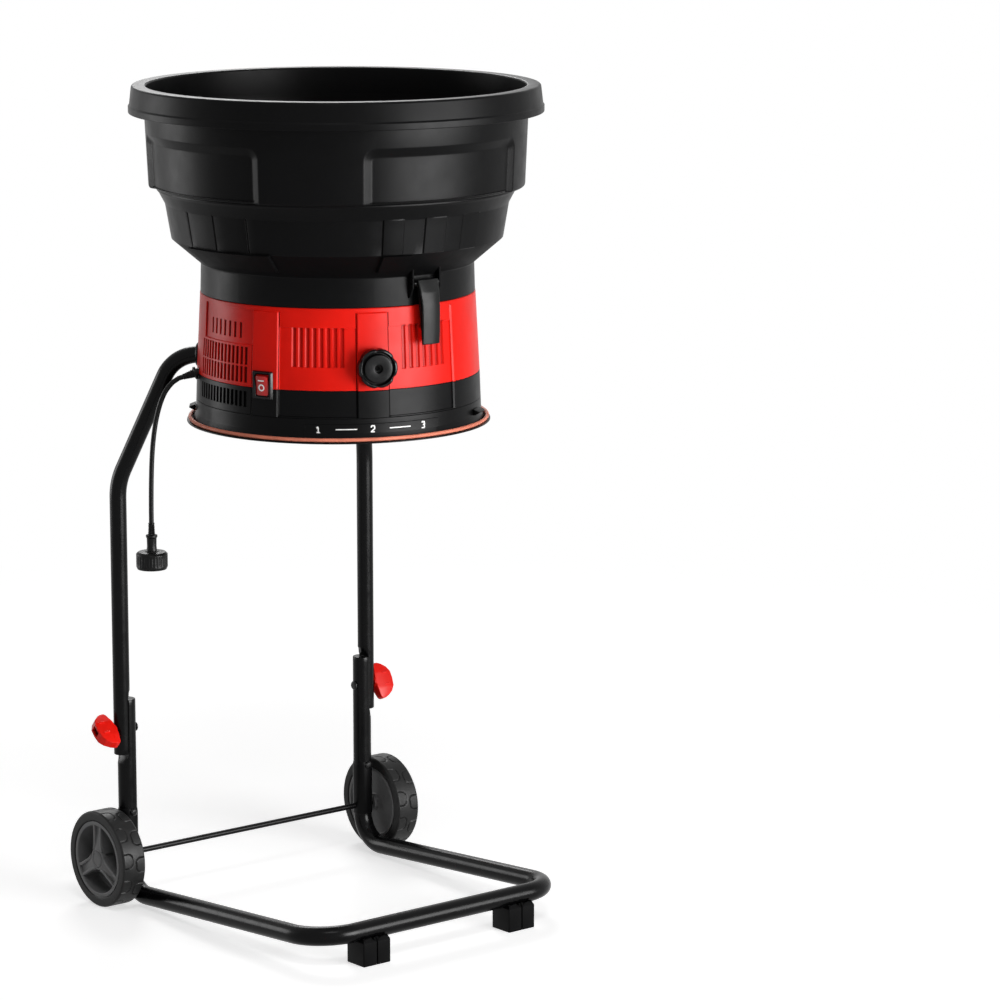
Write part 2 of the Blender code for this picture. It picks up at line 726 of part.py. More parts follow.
def make_latch(side, azimuth):
    """The lever hangs from its pin between two ears and presses on a catch pad."""
    outer = LATCH_REACH
    inner = LATCH_REACH - LATCH_THICKNESS
    knuckle = LATCH_KNUCKLE
    points = [
        (knuckle, knuckle * 1.4),
        (knuckle * 1.6, knuckle * 1.4),
        (outer - knuckle * 0.75, -LATCH_DROP * 0.15),
        (outer + knuckle * 0.1, -LATCH_DROP * 0.36),
        (outer + knuckle * 0.15, -LATCH_DROP * 0.64),
        (outer, -LATCH_DROP),
        (inner, -LATCH_DROP),
        (inner, -LATCH_DROP * 0.74),
        (inner + knuckle * 0.1, -LATCH_DROP * 0.36),
        (inner - knuckle * 0.75, -LATCH_DROP * 0.15),
        (0.0, -knuckle * 0.9),
        (-knuckle * 0.9, -knuckle * 0.4),
        (-knuckle * 0.9, knuckle * 0.4),
        (0.0, knuckle),
    ]
    half = LATCH_WIDTH / 2
    lever = outline(f"latch_lever_{side}", [points], -half, half, "hopper_black")
    stand_up(lever, azimuth)
    pivot = on_wall(azimuth, LATCH_PIN_R, LATCH_PIN_Z)
    lever.matrix_world = Matrix.Translation(pivot) @ lever.matrix_world
    barrel_half = EAR_SPREAD - RUN_GAP
    barrel = cylinder(f"latch_barrel_{side}", knuckle, -barrel_half, barrel_half, steps=16)
    join(lever, place(barrel, pivot, radial(azimuth + 90)))
    bore = cylinder(f"latch_bore_{side}", LATCH_PIN_RADIUS + SEAT_GAP, -0.1, 0.1, steps=12)
    cut(lever, place(bore, pivot, radial(azimuth + 90)))
    reach = EAR_SPREAD + EAR_THICKNESS
    pin = cylinder(f"latch_pin_{side}", LATCH_PIN_RADIUS, -reach, reach, "steel", steps=12)
    place(pin, pivot, radial(azimuth + 90))
    return lever


def leg_plane_azimuth(side):
    return side * (180.0 - math.degrees(math.atan2(LEG_X, LEG_Y)))


def make_housing():
    spigot = NECK_TOP_RADIUS - COLLAR_WALL - RUN_GAP
    spigot_inner = spigot - SPIGOT_WALL
    red_points = [
        (spigot, RED_TOP_Z + SPIGOT_HEIGHT),
        (spigot, RED_TOP_Z),
        (HOUSING_RADIUS, RED_TOP_Z),
        (RED_FOOT_RADIUS, RED_FOOT_Z),
        (RED_INNER_RADIUS, RED_FOOT_Z),
        (HOUSING_RADIUS - HOUSING_WALL, RED_TOP_Z - HOUSING_WALL),
        (spigot_inner, RED_TOP_Z - HOUSING_WALL),
        (spigot_inner, RED_TOP_Z + SPIGOT_HEIGHT),
    ]
    upper = turned("upper_housing", red_points, "housing_red", BIG_STEPS)
    black_points = [
        (RED_FOOT_RADIUS, RED_FOOT_Z - SEAT_GAP),
        (BLACK_FOOT_RADIUS, HOUSING_FOOT_Z),
        (SPIGOT_OUTER_RADIUS, HOUSING_FOOT_Z),
        (SPIGOT_OUTER_RADIUS, HOUSING_FOOT_Z - GUIDE_DEPTH),
        (GUIDE_INNER_RADIUS, HOUSING_FOOT_Z - GUIDE_DEPTH),
        (GUIDE_INNER_RADIUS, RED_FOOT_Z + INNER_SPIGOT_HEIGHT),
        (SPIGOT_OUTER_RADIUS, RED_FOOT_Z + INNER_SPIGOT_HEIGHT),
        (SPIGOT_OUTER_RADIUS, RED_FOOT_Z - SEAT_GAP),
    ]
    lower = turned("lower_housing", black_points, "housing_black", BIG_STEPS)
    join(upper, knob_boss(), *catch_pads())
    cut(upper, stud_hole())
    window = switch_window()
    gland_hole = cylinder("gland_hole", GLAND_STEM_RADIUS + SEAT_GAP, -0.02, 0.02, steps=16)
    place(gland_hole, gland_point(0.0), gland_direction())
    cut(upper, window, gland_hole)
    cut(lower, window, gland_hole)
    through = 5 * HOUSING_WALL
    for hand, side in (("left", -1), ("right", 1)):
        leg_hole = cylinder(
            f"leg_hole_{hand}",
            LEG_RADIUS + SEAT_GAP,
            RED_FOOT_RADIUS - through,
            RED_FOOT_RADIUS + through,
        )
        place(leg_hole, (0, 0, LEG_TOP_Z), radial(leg_plane_azimuth(side)))
        cut(upper, leg_hole)
        cut(lower, leg_hole)


def boss_face_radius():
    return red_shell_radius(KNOB_Z) + BOSS_HEIGHT


def knob_boss():
    middle_of_wall = (red_shell_radius(KNOB_Z) - HOUSING_WALL / 2) * FLAT_SHARE
    boss = cylinder("knob_boss", BOSS_RADIUS, middle_of_wall, boss_face_radius())
    return place(boss, (0, 0, KNOB_Z), radial(KNOB_AZIMUTH))


def stud_hole():
    face = boss_face_radius()
    hole = cylinder("stud_hole", STUD_RADIUS + SEAT_GAP, face - 0.02, face + 0.01, steps=12)
    return place(hole, (0, 0, KNOB_Z), radial(KNOB_AZIMUTH))


def catch_pads():
    face = LATCH_PIN_R + LATCH_REACH - LATCH_THICKNESS - SEAT_GAP
    low_z = LATCH_PIN_Z - LATCH_DROP + CATCH_RISE
    high_z = low_z + CATCH_HEIGHT
    root = red_shell_radius(high_z) - HOUSING_WALL / 2
    points = [(root, low_z), (face, low_z), (face, high_z), (root, high_z)]
    pads = []
    for side, azimuth in LATCH_AZIMUTHS.items():
        pad = outline(f"catch_{side}", [points], -CATCH_WIDTH / 2, CATCH_WIDTH / 2)
        stand_up(pad, azimuth)
        pads.append(pad)
    return pads


def switch_window():
    half_x = BEZEL_WIDTH / 2 - BEZEL_BORDER + SEAT_GAP
    half_y = BEZEL_HEIGHT / 2 - BEZEL_BORDER + SEAT_GAP
    through = 5 * HOUSING_WALL
    window = box("switch_window", (-half_x, -half_y, -through), (half_x, half_y, through))
    window.matrix_world = wall_matrix(SWITCH_AZIMUTH, RED_FOOT_RADIUS, SWITCH_Z)
    return window


def make_ring():
    inner = SPIGOT_OUTER_RADIUS + RING_RUN_GAP
    top = HOUSING_FOOT_Z - SEAT_GAP
    lip_root = RING_RADIUS + 2 * RING_FLARE
    points = [
        (BLACK_FOOT_RADIUS, top),
        (RING_RADIUS, RING_FLARE_Z + LIP_DROP),
        (RING_RADIUS + RING_FLARE, RING_FLARE_Z),
        (lip_root, LIP_TOP_Z),
        (LIP_RADIUS, LIP_EDGE_Z),
        (LIP_RADIUS, LIP_EDGE_Z - LIP_THICKNESS),
        (RING_RADIUS + RING_FLARE, LIP_TOP_Z - LIP_THICKNESS),
        (inner, RING_FLARE_Z),
        (inner, top),
    ]
    turned("adjusting_ring", points, "housing_black", BIG_STEPS)
    minor = BAG_BAND_THICKNESS / 2
    band_radius = LIP_RADIUS - BAG_BAND_INSET
    down_the_lip = (band_radius - lip_root) / (LIP_RADIUS - lip_root)
    seat_z = LIP_TOP_Z - LIP_FALL * down_the_lip
    bpy.ops.mesh.primitive_torus_add(
        major_segments=BIG_STEPS,
        minor_segments=8,
        major_radius=band_radius,
        minor_radius=minor,
        location=(0, 0, seat_z + minor + SEAT_GAP),
    )
    band = bpy.context.object
    band.name = "bag_band"
    for collection in list(band.users_collection):
        collection.objects.unlink(band)
    PARTS.objects.link(band)
    band.data.materials.append(bpy.data.materials["band_salmon"])
    smooth(band.data)
    for hand, azimuth in HOOK_AZIMUTHS.items():
        make_hook(hand, azimuth)


def make_hook(hand, azimuth):
    back = RING_RADIUS + SEAT_GAP
    front = back + HOOK_REACH
    foot = RING_FLARE_Z + HOOK_RISE
    points = [
        (back, foot),
        (back + HOOK_WALL, foot),
        (back + HOOK_WALL, foot + HOOK_HEIGHT * 0.3),
        (front, foot + HOOK_HEIGHT * 0.4),
        (front, foot + HOOK_HEIGHT * 0.6),
        (back, foot + HOOK_HEIGHT),
    ]
    half = HOOK_WIDTH / 2
    hook = outline(f"bag_hook_{hand}", [points], -half, half, "housing_black")
    stand_up(hook, azimuth)


def make_knob():
    count = KNOB_LOBES * 4
    lobes = []
    for i in range(count):
        angle = 2 * math.pi * i / count
        radius = KNOB_RADIUS - KNOB_LOBE_DEPTH * (1 - math.cos(KNOB_LOBES * angle)) / 2
        lobes.append((radius * math.cos(angle), radius * math.sin(angle)))
    hole = circle_points(STUD_RADIUS + SEAT_GAP, 12)
    knob = outline("depth_knob", [lobes, hole], 0.0, KNOB_LENGTH, "knob_black")
    seat = on_wall(KNOB_AZIMUTH, boss_face_radius() + SEAT_GAP, KNOB_Z)
    place(knob, seat, radial(KNOB_AZIMUTH))
    recess_foot = KNOB_LENGTH - KNOB_RECESS_DEPTH
    recess = cylinder("knob_recess", KNOB_RECESS_RADIUS, recess_foot, 2 * KNOB_LENGTH, steps=24)
    cut(knob, place(recess, seat, radial(KNOB_AZIMUTH)))
    wall_inside = red_shell_radius(KNOB_Z + STUD_HEAD_RADIUS) - HOUSING_WALL
    head_top = wall_inside * FLAT_SHARE - SEAT_GAP
    stud_end = boss_face_radius() + KNOB_LENGTH - STUD_RECESS
    points = [
        (0.0, stud_end),
        (STUD_RADIUS, stud_end),
        (STUD_RADIUS, head_top),
        (STUD_HEAD_RADIUS, head_top),
        (STUD_HEAD_RADIUS, head_top - STUD_HEAD_THICKNESS),
        (0.0, head_top - STUD_HEAD_THICKNESS),
    ]
    stud = turned("knob_stud", points, "steel", 12, closed=False)
    place(stud, (0, 0, KNOB_Z), radial(KNOB_AZIMUTH))


def make_switch():
    at_wall = wall_matrix(SWITCH_AZIMUTH, 0.0, SWITCH_Z)
    half_x, half_y = BEZEL_WIDTH / 2, BEZEL_HEIGHT / 2
    seat = black_shell_radius(SWITCH_Z - half_y) + SEAT_GAP
    front = seat + BEZEL_FLANGE
    back = seat - BEZEL_DEPTH
    bezel = box("switch_bezel", (-half_x, -half_y, seat), (half_x, half_y, front), "knob_black")
    bezel.matrix_world = at_wall
    body_x, body_y = half_x - BEZEL_BORDER, half_y - BEZEL_BORDER
    body = box("bezel_body", (-body_x, -body_y, back), (body_x, body_y, (seat + front) / 2))
    body.matrix_world = at_wall
    join(bezel, body)
    well_x = ROCKER_WIDTH / 2 + RUN_GAP
    well_y = ROCKER_HEIGHT / 2 + 2 * RUN_GAP
    well = box(
        "rocker_well", (-well_x, -well_y, back + BEZEL_FLOOR), (well_x, well_y, front + BEZEL_FLANGE)
    )
    well.matrix_world = at_wall
    cut(bezel, well)
    half = ROCKER_HEIGHT / 2
    deep = ROCKER_DEPTH / 2
    points = [
        (deep, -half),
        (deep - ROCKER_KEEL / 3, 0.0),
        (deep, half),
        (-deep, half - ROCKER_KEEL * 2 / 3),
        (-deep - ROCKER_KEEL, 0.0),
        (-deep, -half + ROCKER_KEEL * 2 / 3),
    ]
    rocker = outline(
        "switch_rocker", [points], -ROCKER_WIDTH / 2, ROCKER_WIDTH / 2, "switch_red"
    )
    stand_up(rocker, SWITCH_AZIMUTH)
    pivot = on_wall(SWITCH_AZIMUTH, front - ROCKER_PIVOT_DEPTH, SWITCH_Z)
    tilt = Matrix.Rotation(math.radians(ROCKER_TILT), 4, radial(SWITCH_AZIMUTH + 90))
    rocker.matrix_world = Matrix.Translation(pivot) @ tilt @ rocker.matrix_world


def gland_direction():
    droop = math.radians(GLAND_DROOP)
    out = radial(GLAND_AZIMUTH)
    return out * math.cos(droop) - Vector((0, 0, 1)) * math.sin(droop)


def gland_point(reach):
    """A point on the gland's axis, measured from where it crosses the wall."""
    return on_wall(GLAND_AZIMUTH, RED_FOOT_RADIUS, GLAND_Z) + gland_direction() * reach


def make_gland():
    points = [
        (0.0, GLAND_LENGTH),
        (CORD_RADIUS + GLAND_TIP_WALL, GLAND_LENGTH),
        (CORD_RADIUS + GLAND_ROOT_WALL, GLAND_SEAT + 1.4 * GLAND_FLANGE),
        (GLAND_FLANGE_RADIUS, GLAND_SEAT + GLAND_FLANGE),
        (GLAND_FLANGE_RADIUS, GLAND_SEAT),
        (GLAND_STEM_RADIUS, GLAND_SEAT),
        (GLAND_STEM_RADIUS, -GLAND_INSIDE),
        (0.0, -GLAND_INSIDE),
    ]
    gland = turned("cord_gland", points, "cord_black", 16, closed=False)
    place(gland, gland_point(0.0), gland_direction())


def cord_points():
    """The cord's route on the gland's radial plane, first straight out of the gland."""
    exits = [gland_point(GLAND_LENGTH + reach) for reach in (SEAT_GAP, 2 * CORD_RADIUS)]
    flat = [
        *((math.hypot(point.x, point.y), point.z) for point in exits),
        (0.2440, 0.8047),
        (0.2538, 0.7930),
        (0.2598, 0.7810),
        (0.2646, 0.7670),
        (0.2686, 0.7510),
        (0.2716, 0.7340),
        (0.2740, 0.7150),
        (0.2757, 0.6940),
        (0.2768, 0.6710),
        (0.2775, 0.6470),
        (0.2779, 0.6230),
        (PLUG_R, SLEEVE_TOP_Z + SEAT_GAP),
    ]
    return [on_wall(GLAND_AZIMUTH, r, z) for r, z in flat]


def smooth_through(points, spacing):
    """Points on the Catmull-Rom curve through the given ones, about spacing apart."""
    padded = [2 * points[0] - points[1], *points, 2 * points[-1] - points[-2]]
    found = []
    for a, b, c, d in zip(padded, padded[1:], padded[2:], padded[3:]):
        count = max(1, round((c - b).length / spacing))
        for i in range(count):
            t = i / count
            found.append(
                0.5
                * (
                    2 * b
                    + (c - a) * t
                    + (2 * a - 5 * b + 4 * c - d) * t**2
                    + (3 * b - a - 3 * c + d) * t**3
                )
            )
    return [*found, points[-1]]


def make_cord():
    route = smooth_through(cord_points(), CORD_POINT_SPACING)
    tube_curve("power_cord", route, CORD_RADIUS, "cord_black", caps=True)
    middle = on_wall(GLAND_AZIMUTH, PLUG_R, 0.0)
    neck_z = SLEEVE_TOP_Z - SLEEVE_LENGTH
    cap_top = neck_z - NECK_LENGTH - SEAT_GAP
    cap_foot = cap_top - CAP_HEIGHT
    cap_face = cap_foot + CAP_DEPTH
    sleeve_points = [
        (0.0, SLEEVE_TOP_Z),
        (SLEEVE_RADIUS - CAP_EDGE, SLEEVE_TOP_Z),
        (SLEEVE_RADIUS, neck_z + NECK_RING_HEIGHT),
        (NECK_RING_RADIUS, neck_z),
        (NECK_RING_RADIUS, neck_z - NECK_RING_HEIGHT),
        (NECK_RADIUS, neck_z - 2 * NECK_RING_HEIGHT),
        (NECK_RADIUS, neck_z - NECK_LENGTH),
        (0.0, neck_z - NECK_LENGTH),
    ]
    sleeve = turned("plug_sleeve", sleeve_points, "cord_black", 16, closed=False)
    sleeve.location = middle
    inside = CAP_RADIUS - CAP_WALL
    cap_points = [
        (0.0, cap_top),
        (CAP_RADIUS - CAP_EDGE, cap_top),
        (CAP_RADIUS, cap_top - CAP_EDGE),
        (CAP_RADIUS, cap_foot + CAP_EDGE),
        (CAP_RADIUS - CAP_EDGE, cap_foot),
        (inside, cap_foot),
        (inside, cap_face),
        (0.0, cap_face),
    ]
    cap = turned("plug_cap", cap_points, "cord_black", SMALL_STEPS, closed=False)
    cap.location = middle
    top = cap_face - SEAT_GAP
    for hand, side in (("left", -1), ("right", 1)):
        x = side * BLADE_SPACING / 2
        blade = box(
            f"prong_{hand}",
            (x - BLADE_SIZE[0] / 2, -BLADE_SIZE[1] / 2, top - BLADE_SIZE[2]),
            (x + BLADE_SIZE[0] / 2, BLADE_SIZE[1] / 2, top),
            "brass",
        )
        blade.location = middle
    low = top - BLADE_SIZE[2]
    pin = cylinder("prong_ground", GROUND_PIN_RADIUS, low, top, "brass", steps=12)
    pin.location = middle + Vector((0.0, GROUND_PIN_OFFSET, 0.0))


def upper_leg_path(side):
    out = radial(leg_plane_azimuth(side))
    top = Vector((0, 0, LEG_TOP_Z))
    foot = Vector((side * LEG_X, LEG_Y, LEG_FOOT_Z))
    knee = Vector((side * LEG_X, LEG_Y, LEG_TOP_Z - LEG_KNEE_DROP))
    elbow = out * (RED_FOOT_RADIUS + LEG_ELBOW_STANDOFF) + top
    end = out * (RED_FOOT_RADIUS - LEG_INSERT) + top
    bent = fillet_path([foot, knee, elbow, end], [LEG_KNEE_BEND, LEG_ELBOW_BEND])
    levels = (FRAME_TOP_Z + LAP_RELIEF / 2, FRAME_TOP_Z + LAP_RELIEF / 2 + LAP_RUNOUT)
    lap = [Vector((side * LEG_X, LEG_Y, z)) for z in levels]
    return [bent[0], *lap, *bent[1:]]


def make_upper_leg(hand, side):
    face = LAP_PLANE_X + SEAT_GAP / 2

    def press(point):
        if point.z < FRAME_TOP_Z + LAP_RELIEF and side * point.x < face:
            point.x = side * face

    path = upper_leg_path(side)
    leg = hollow_tube(f"upper_leg_{hand}", path, LEG_RADIUS, LEG_WALL, "tube_black", press)
    cut(leg, lap_hole(f"upper_lap_hole_{hand}"))
    inner = LEG_RADIUS + SEAT_GAP
    outer = inner + SOCKET_WALL
    mouth = arm_reach(outer)
    low = mouth - SOCKET_LENGTH
    socket = ring(f"leg_socket_{hand}", inner, outer, low, mouth, "housing_black")
    place(socket, (0, 0, LEG_TOP_Z), radial(leg_plane_azimuth(side)))


def arm_reach(half_width):
    """How far a straight arm reaches from the axis before it meets the guide's inner wall."""
    return math.sqrt((GUIDE_INNER_RADIUS * FLAT_SHARE) ** 2 - half_width**2) - SEAT_GAP


def lap_hole(name):
    hole = cylinder(name, LAP_BOLT_RADIUS + SEAT_GAP, -0.3, 0.3, steps=12)
    return place(hole, (0, LEG_Y, LAP_Z), (1, 0, 0))


def frame_path():
    corners = [
        (-FRAME_X, FRAME_BACK_Y, FRAME_TOP_Z),
        (-FRAME_X, FRAME_BACK_Y, FRAME_BACK_Z),
        (-FRAME_X, FRAME_FRONT_Y, FRAME_FRONT_Z),
        (FRAME_X, FRAME_FRONT_Y, FRAME_FRONT_Z),
        (FRAME_X, FRAME_BACK_Y, FRAME_BACK_Z),
        (FRAME_X, FRAME_BACK_Y, FRAME_TOP_Z),
    ]
    bends = [FRAME_HEEL_BEND, FRAME_CORNER_BEND, FRAME_CORNER_BEND, FRAME_HEEL_BEND]
    bent = fillet_path(corners, bends)
    lap_end = LEG_FOOT_Z - LAP_RELIEF / 2
    levels = (lap_end, lap_end - LAP_RUNOUT)
    left = [Vector((-FRAME_X, FRAME_BACK_Y, z)) for z in levels]
    right = [Vector((FRAME_X, FRAME_BACK_Y, z)) for z in reversed(levels)]
    return [bent[0], *left, *bent[1:-1], *right, bent[-1]]


def make_frame():
    face = LAP_PLANE_X - SEAT_GAP / 2

    def press(point):
        if point.z > LEG_FOOT_Z - LAP_RELIEF and abs(point.x) > face:
            point.x = math.copysign(face, point.x)

    frame = hollow_tube("lower_frame", frame_path(), FRAME_RADIUS, FRAME_WALL, "tube_black", press)
    cut(frame, lap_hole("lower_lap_hole"))
    axle_hole = cylinder("frame_axle_hole", AXLE_RADIUS + SEAT_GAP, -0.3, 0.3, steps=16)
    cut(frame, place(axle_hole, (0, WHEEL_Y, WHEEL_RADIUS), (1, 0, 0)))
    for hand, side in (("left", -1), ("right", 1)):
        cut(frame, bracket_hole(f"frame_bolt_hole_{hand}", side))


def bracket_hole(name, side):
    hole = cylinder(name, BRACKET_BOLT_RADIUS + SEAT_GAP, -0.03, 0.03, steps=12)
    return place(hole, (side * FRAME_X, FRAME_BACK_Y, BRACKET_BOLT_Z), (0, -1, 0))


def make_bracket(hand, side):
    """A square sleeve round the foot of the leg. The axle and a bolt pass through it."""
    half = BRACKET_SIZE / 2
    low_x, high_x = sorted((side * (BRACKET_OUTER_X - BRACKET_SIZE), side * BRACKET_OUTER_X))
    bracket = box(
        f"axle_bracket_{hand}",
        (low_x, FRAME_BACK_Y - half, BRACKET_FOOT_Z),
        (high_x, FRAME_BACK_Y + half, BRACKET_FOOT_Z + BRACKET_HEIGHT),
        "housing_black",
    )
    low, high = BRACKET_FOOT_Z - BRACKET_SIZE, BRACKET_FOOT_Z + BRACKET_HEIGHT + BRACKET_SIZE
    bore = cylinder(f"bracket_bore_{hand}", FRAME_RADIUS + SEAT_GAP, low, high)
    cut(bracket, place(bore, (side * FRAME_X, FRAME_BACK_Y, 0)))
    axle_hole = cylinder(f"bracket_axle_hole_{hand}", AXLE_RADIUS + SEAT_GAP, -0.3, 0.3, steps=16)
    cut(bracket, place(axle_hole, (0, WHEEL_Y, WHEEL_RADIUS), (1, 0, 0)))
    cut(bracket, bracket_hole(f"bracket_bolt_hole_{hand}", side))
    head_face = half + SEAT_GAP
    head_top = head_face + BRACKET_HEAD_THICKNESS
    points = [
        (0.0, head_top),
        (BRACKET_HEAD_RADIUS, head_top),
        (BRACKET_HEAD_RADIUS, head_face),
        (BRACKET_BOLT_RADIUS, head_face),
        (BRACKET_BOLT_RADIUS, -half),
        (0.0, -half),
    ]
    bolt = turned(f"bracket_bolt_{hand}", points, "steel", 12, closed=False)
    place(bolt, (side * FRAME_X, FRAME_BACK_Y, BRACKET_BOLT_Z), (0, -1, 0))


def make_lap_joint(hand, side):
    out = Vector((side, 0, 0))
    head_back = FRAME_X - FRAME_RADIUS - SEAT_GAP - LAP_HEAD_THICKNESS
    stem_start = LEG_X + LEG_RADIUS + SEAT_GAP
    wing_start = stem_start + WING_STEM_LENGTH
    bolt_end = wing_start + WING_BOLT_ENTRY
    points = [
        (0.0, bolt_end),
        (LAP_BOLT_RADIUS, bolt_end),
        (LAP_BOLT_RADIUS, head_back + LAP_HEAD_THICKNESS),
        (LAP_HEAD_RADIUS, head_back + LAP_HEAD_THICKNESS),
        (LAP_HEAD_RADIUS, head_back),
        (0.0, head_back),
    ]
    bolt = turned(f"lap_bolt_{hand}", points, "steel", 12, closed=False)
    place(bolt, (0, LEG_Y, LAP_Z), out)
    in_wing = wing_start + WING_SHOULDER / 2
    stem = cylinder(
        f"wing_knob_{hand}", WING_STEM_RADIUS, stem_start, in_wing, "wing_red", steps=16
    )
    place(stem, (0, LEG_Y, LAP_Z), out)
    half = WING_LENGTH / 2
    arc = 12
    plate_points = [(-half, wing_start)]
    for i in range(arc + 1):
        angle = math.pi * (1 - i / arc)
        rise = WING_SHOULDER + (WING_DEPTH - WING_SHOULDER) * math.sin(angle)
        plate_points.append((half * math.cos(angle), wing_start + rise))
    plate_points.append((half, wing_start))
    plate = outline(
        f"wing_plate_{hand}", [plate_points], -WING_THICKNESS / 2, WING_THICKNESS / 2
    )
    tilt = math.radians(WING_TILTS[hand])
    along = Vector((0, math.cos(tilt), math.sin(tilt)))
    turn = Matrix((along, out, along.cross(out))).transposed().to_4x4()
    plate.matrix_world = Matrix.Translation((0, LEG_Y, LAP_Z)) @ turn
    join(stem, plate)
    bore = cylinder(
        f"wing_bore_{hand}",
        LAP_BOLT_RADIUS + SEAT_GAP,
        stem_start - WING_STEM_LENGTH,
        bolt_end + RUN_GAP,
        steps=12,
    )
    cut(stem, place(bore, (0, LEG_Y, LAP_Z), out))


def make_wheel(hand, side):
    """Built with its own +Z outboard, from the middle of its width."""
    centre = Vector((side * (WHEEL_OUTER_X - WHEEL_WIDTH / 2), WHEEL_Y, WHEEL_RADIUS))
    out = (side, 0, 0)
    half = WHEEL_WIDTH / 2
    edge = TYRE_EDGE
    bed = WHEEL_RADIUS - TYRE_THICKNESS
    tyre_points = [
        (bed, half),
        (WHEEL_RADIUS - edge, half),
        (WHEEL_RADIUS, half - edge),
        (WHEEL_RADIUS, -half + edge),
        (WHEEL_RADIUS - edge, -half),
        (bed, -half),
    ]
    place(turned(f"tyre_{hand}", tyre_points, "tyre_black", WHEEL_STEPS), centre, out)
    ring_half = RIM_RING_WIDTH / 2
    rim_outer = bed - SEAT_GAP
    rim_inner = rim_outer - RIM_RING_THICKNESS
    disc_foot = DISC_INSET - half
    disc_top = disc_foot + DISC_THICKNESS
    spoke_face = half - SPOKE_INSET
    bore = AXLE_RADIUS + SEAT_GAP
    hub_top = half - HUB_CAP_THICKNESS - SEAT_GAP
    rim_points = [
        (rim_outer, ring_half),
        (rim_outer, -ring_half),
        (rim_inner, -ring_half),
        (rim_inner, disc_foot),
        (HUB_RADIUS, disc_foot),
        (HUB_RADIUS, -half),
        (bore, -half),
        (bore, hub_top),
        (HUB_RADIUS, hub_top),
        (HUB_RADIUS, spoke_face),
        (rim_inner, spoke_face),
        (rim_inner, ring_half),
    ]
    rim = turned(f"wheel_rim_{hand}", rim_points, "wheel_grey", WHEEL_STEPS)
    place(rim, centre, out)
    for i in range(SPOKE_COUNT):
        middle = math.radians(90 + 180 / SPOKE_COUNT + i * 360 / SPOKE_COUNT)
        spread = math.radians(180 / SPOKE_COUNT - SPOKE_HALF_ANGLE)
        outer = [middle - spread + 2 * spread * k / 6 for k in range(7)]
        inner = [middle + spread * 0.55, middle - spread * 0.55]
        far, near = rim_inner - RIM_RING_THICKNESS / 5, HUB_RADIUS + HUB_SKIRT
        points = [(far * math.cos(a), far * math.sin(a)) for a in outer]
        points += [(near * math.cos(a), near * math.sin(a)) for a in inner]
        window = outline(f"window_{hand}_{i}", [points], disc_top, half + DISC_THICKNESS)
        window.matrix_world = wheel_matrix(side) @ window.matrix_world
        cut(rim, window)
    cap = cylinder(f"hub_cap_{hand}", HUB_RADIUS, half - HUB_CAP_THICKNESS, half, "wheel_grey")
    place(cap, centre, out)


def wheel_matrix(side):
    """Local Y up and local Z outboard, at the wheel's middle."""
    out = Vector((side, 0, 0))
    up = Vector((0, 0, 1))
    turn = Matrix((up.cross(out), up, out)).transposed().to_4x4()
    centre = (side * (WHEEL_OUTER_X - WHEEL_WIDTH / 2), WHEEL_Y, WHEEL_RADIUS)
    return Matrix.Translation(centre) @ turn


def make_axle():
    reach = WHEEL_OUTER_X - HUB_CAP_THICKNESS - 2 * SEAT_GAP
    axle = cylinder("axle", AXLE_RADIUS, -reach, reach, "steel", steps=16)
    place(axle, (0, WHEEL_Y, WHEEL_RADIUS), (1, 0, 0))


def make_foot(hand, side):
    half_x, half_y = FOOT_WIDTH / 2, FOOT_DEPTH / 2
    top = FRAME_FRONT_Z - FOOT_SADDLE
    inset = FOOT_BEVEL
    points = [
        (-half_x, 0.0),
        (half_x, 0.0),
        (half_x, top - inset),
        (half_x - inset, top),
        (-half_x + inset, top),
        (-half_x, top - inset),
    ]
    foot = outline(f"foot_{hand}", [points], -half_y, half_y, "housing_black")
    middle = Vector((side * FOOT_X, FRAME_FRONT_Y, 0.0))
    foot.matrix_world = Matrix.Translation(middle) @ Matrix.Rotation(math.pi / 2, 4, "X")
    saddle = cylinder(f"saddle_{hand}", FRAME_RADIUS + SEAT_GAP, -FOOT_WIDTH, FOOT_WIDTH)
    cut(foot, place(saddle, (middle.x, FRAME_FRONT_Y, FRAME_FRONT_Z), (1, 0, 0)))
    groove = box(
        f"groove_{hand}",
        (middle.x - FOOT_GROOVE / 2, FRAME_FRONT_Y - FOOT_DEPTH, -FOOT_DEPTH),
        (middle.x + FOOT_GROOVE / 2, FRAME_FRONT_Y - half_y + FOOT_GROOVE, 2 * top),
    )
    cut(foot, groove)


def make_motor():
    make_pod()
    make_bearings()
    inner = POD_RADIUS - POD_WALL - SEAT_GAP
    stator_foot = POD_FOOT_Z + STATOR_RISE
    stator_top = stator_foot + STATOR_HEIGHT
    bore = inner - STATOR_THICKNESS
    fit = SHAFT_RADIUS + SEAT_GAP
    ring("stator", bore, inner, stator_foot, stator_top, "motor_grey", MOTOR_STEPS)
    over = ARMATURE_OVERHANG
    low, high = stator_foot - over, stator_top + over
    ring("armature", fit, bore - AIR_GAP, low, high, "steel", MOTOR_STEPS)
    shaft_top = NUT_FOOT_Z + NUT_HEIGHT + SHAFT_END
    cylinder("rotor_shaft", SHAFT_RADIUS, POD_FOOT_Z, shaft_top, "steel", steps=16)
    make_fan(fit, high + FAN_GAP)
    make_spider()
    make_line_head(fit)


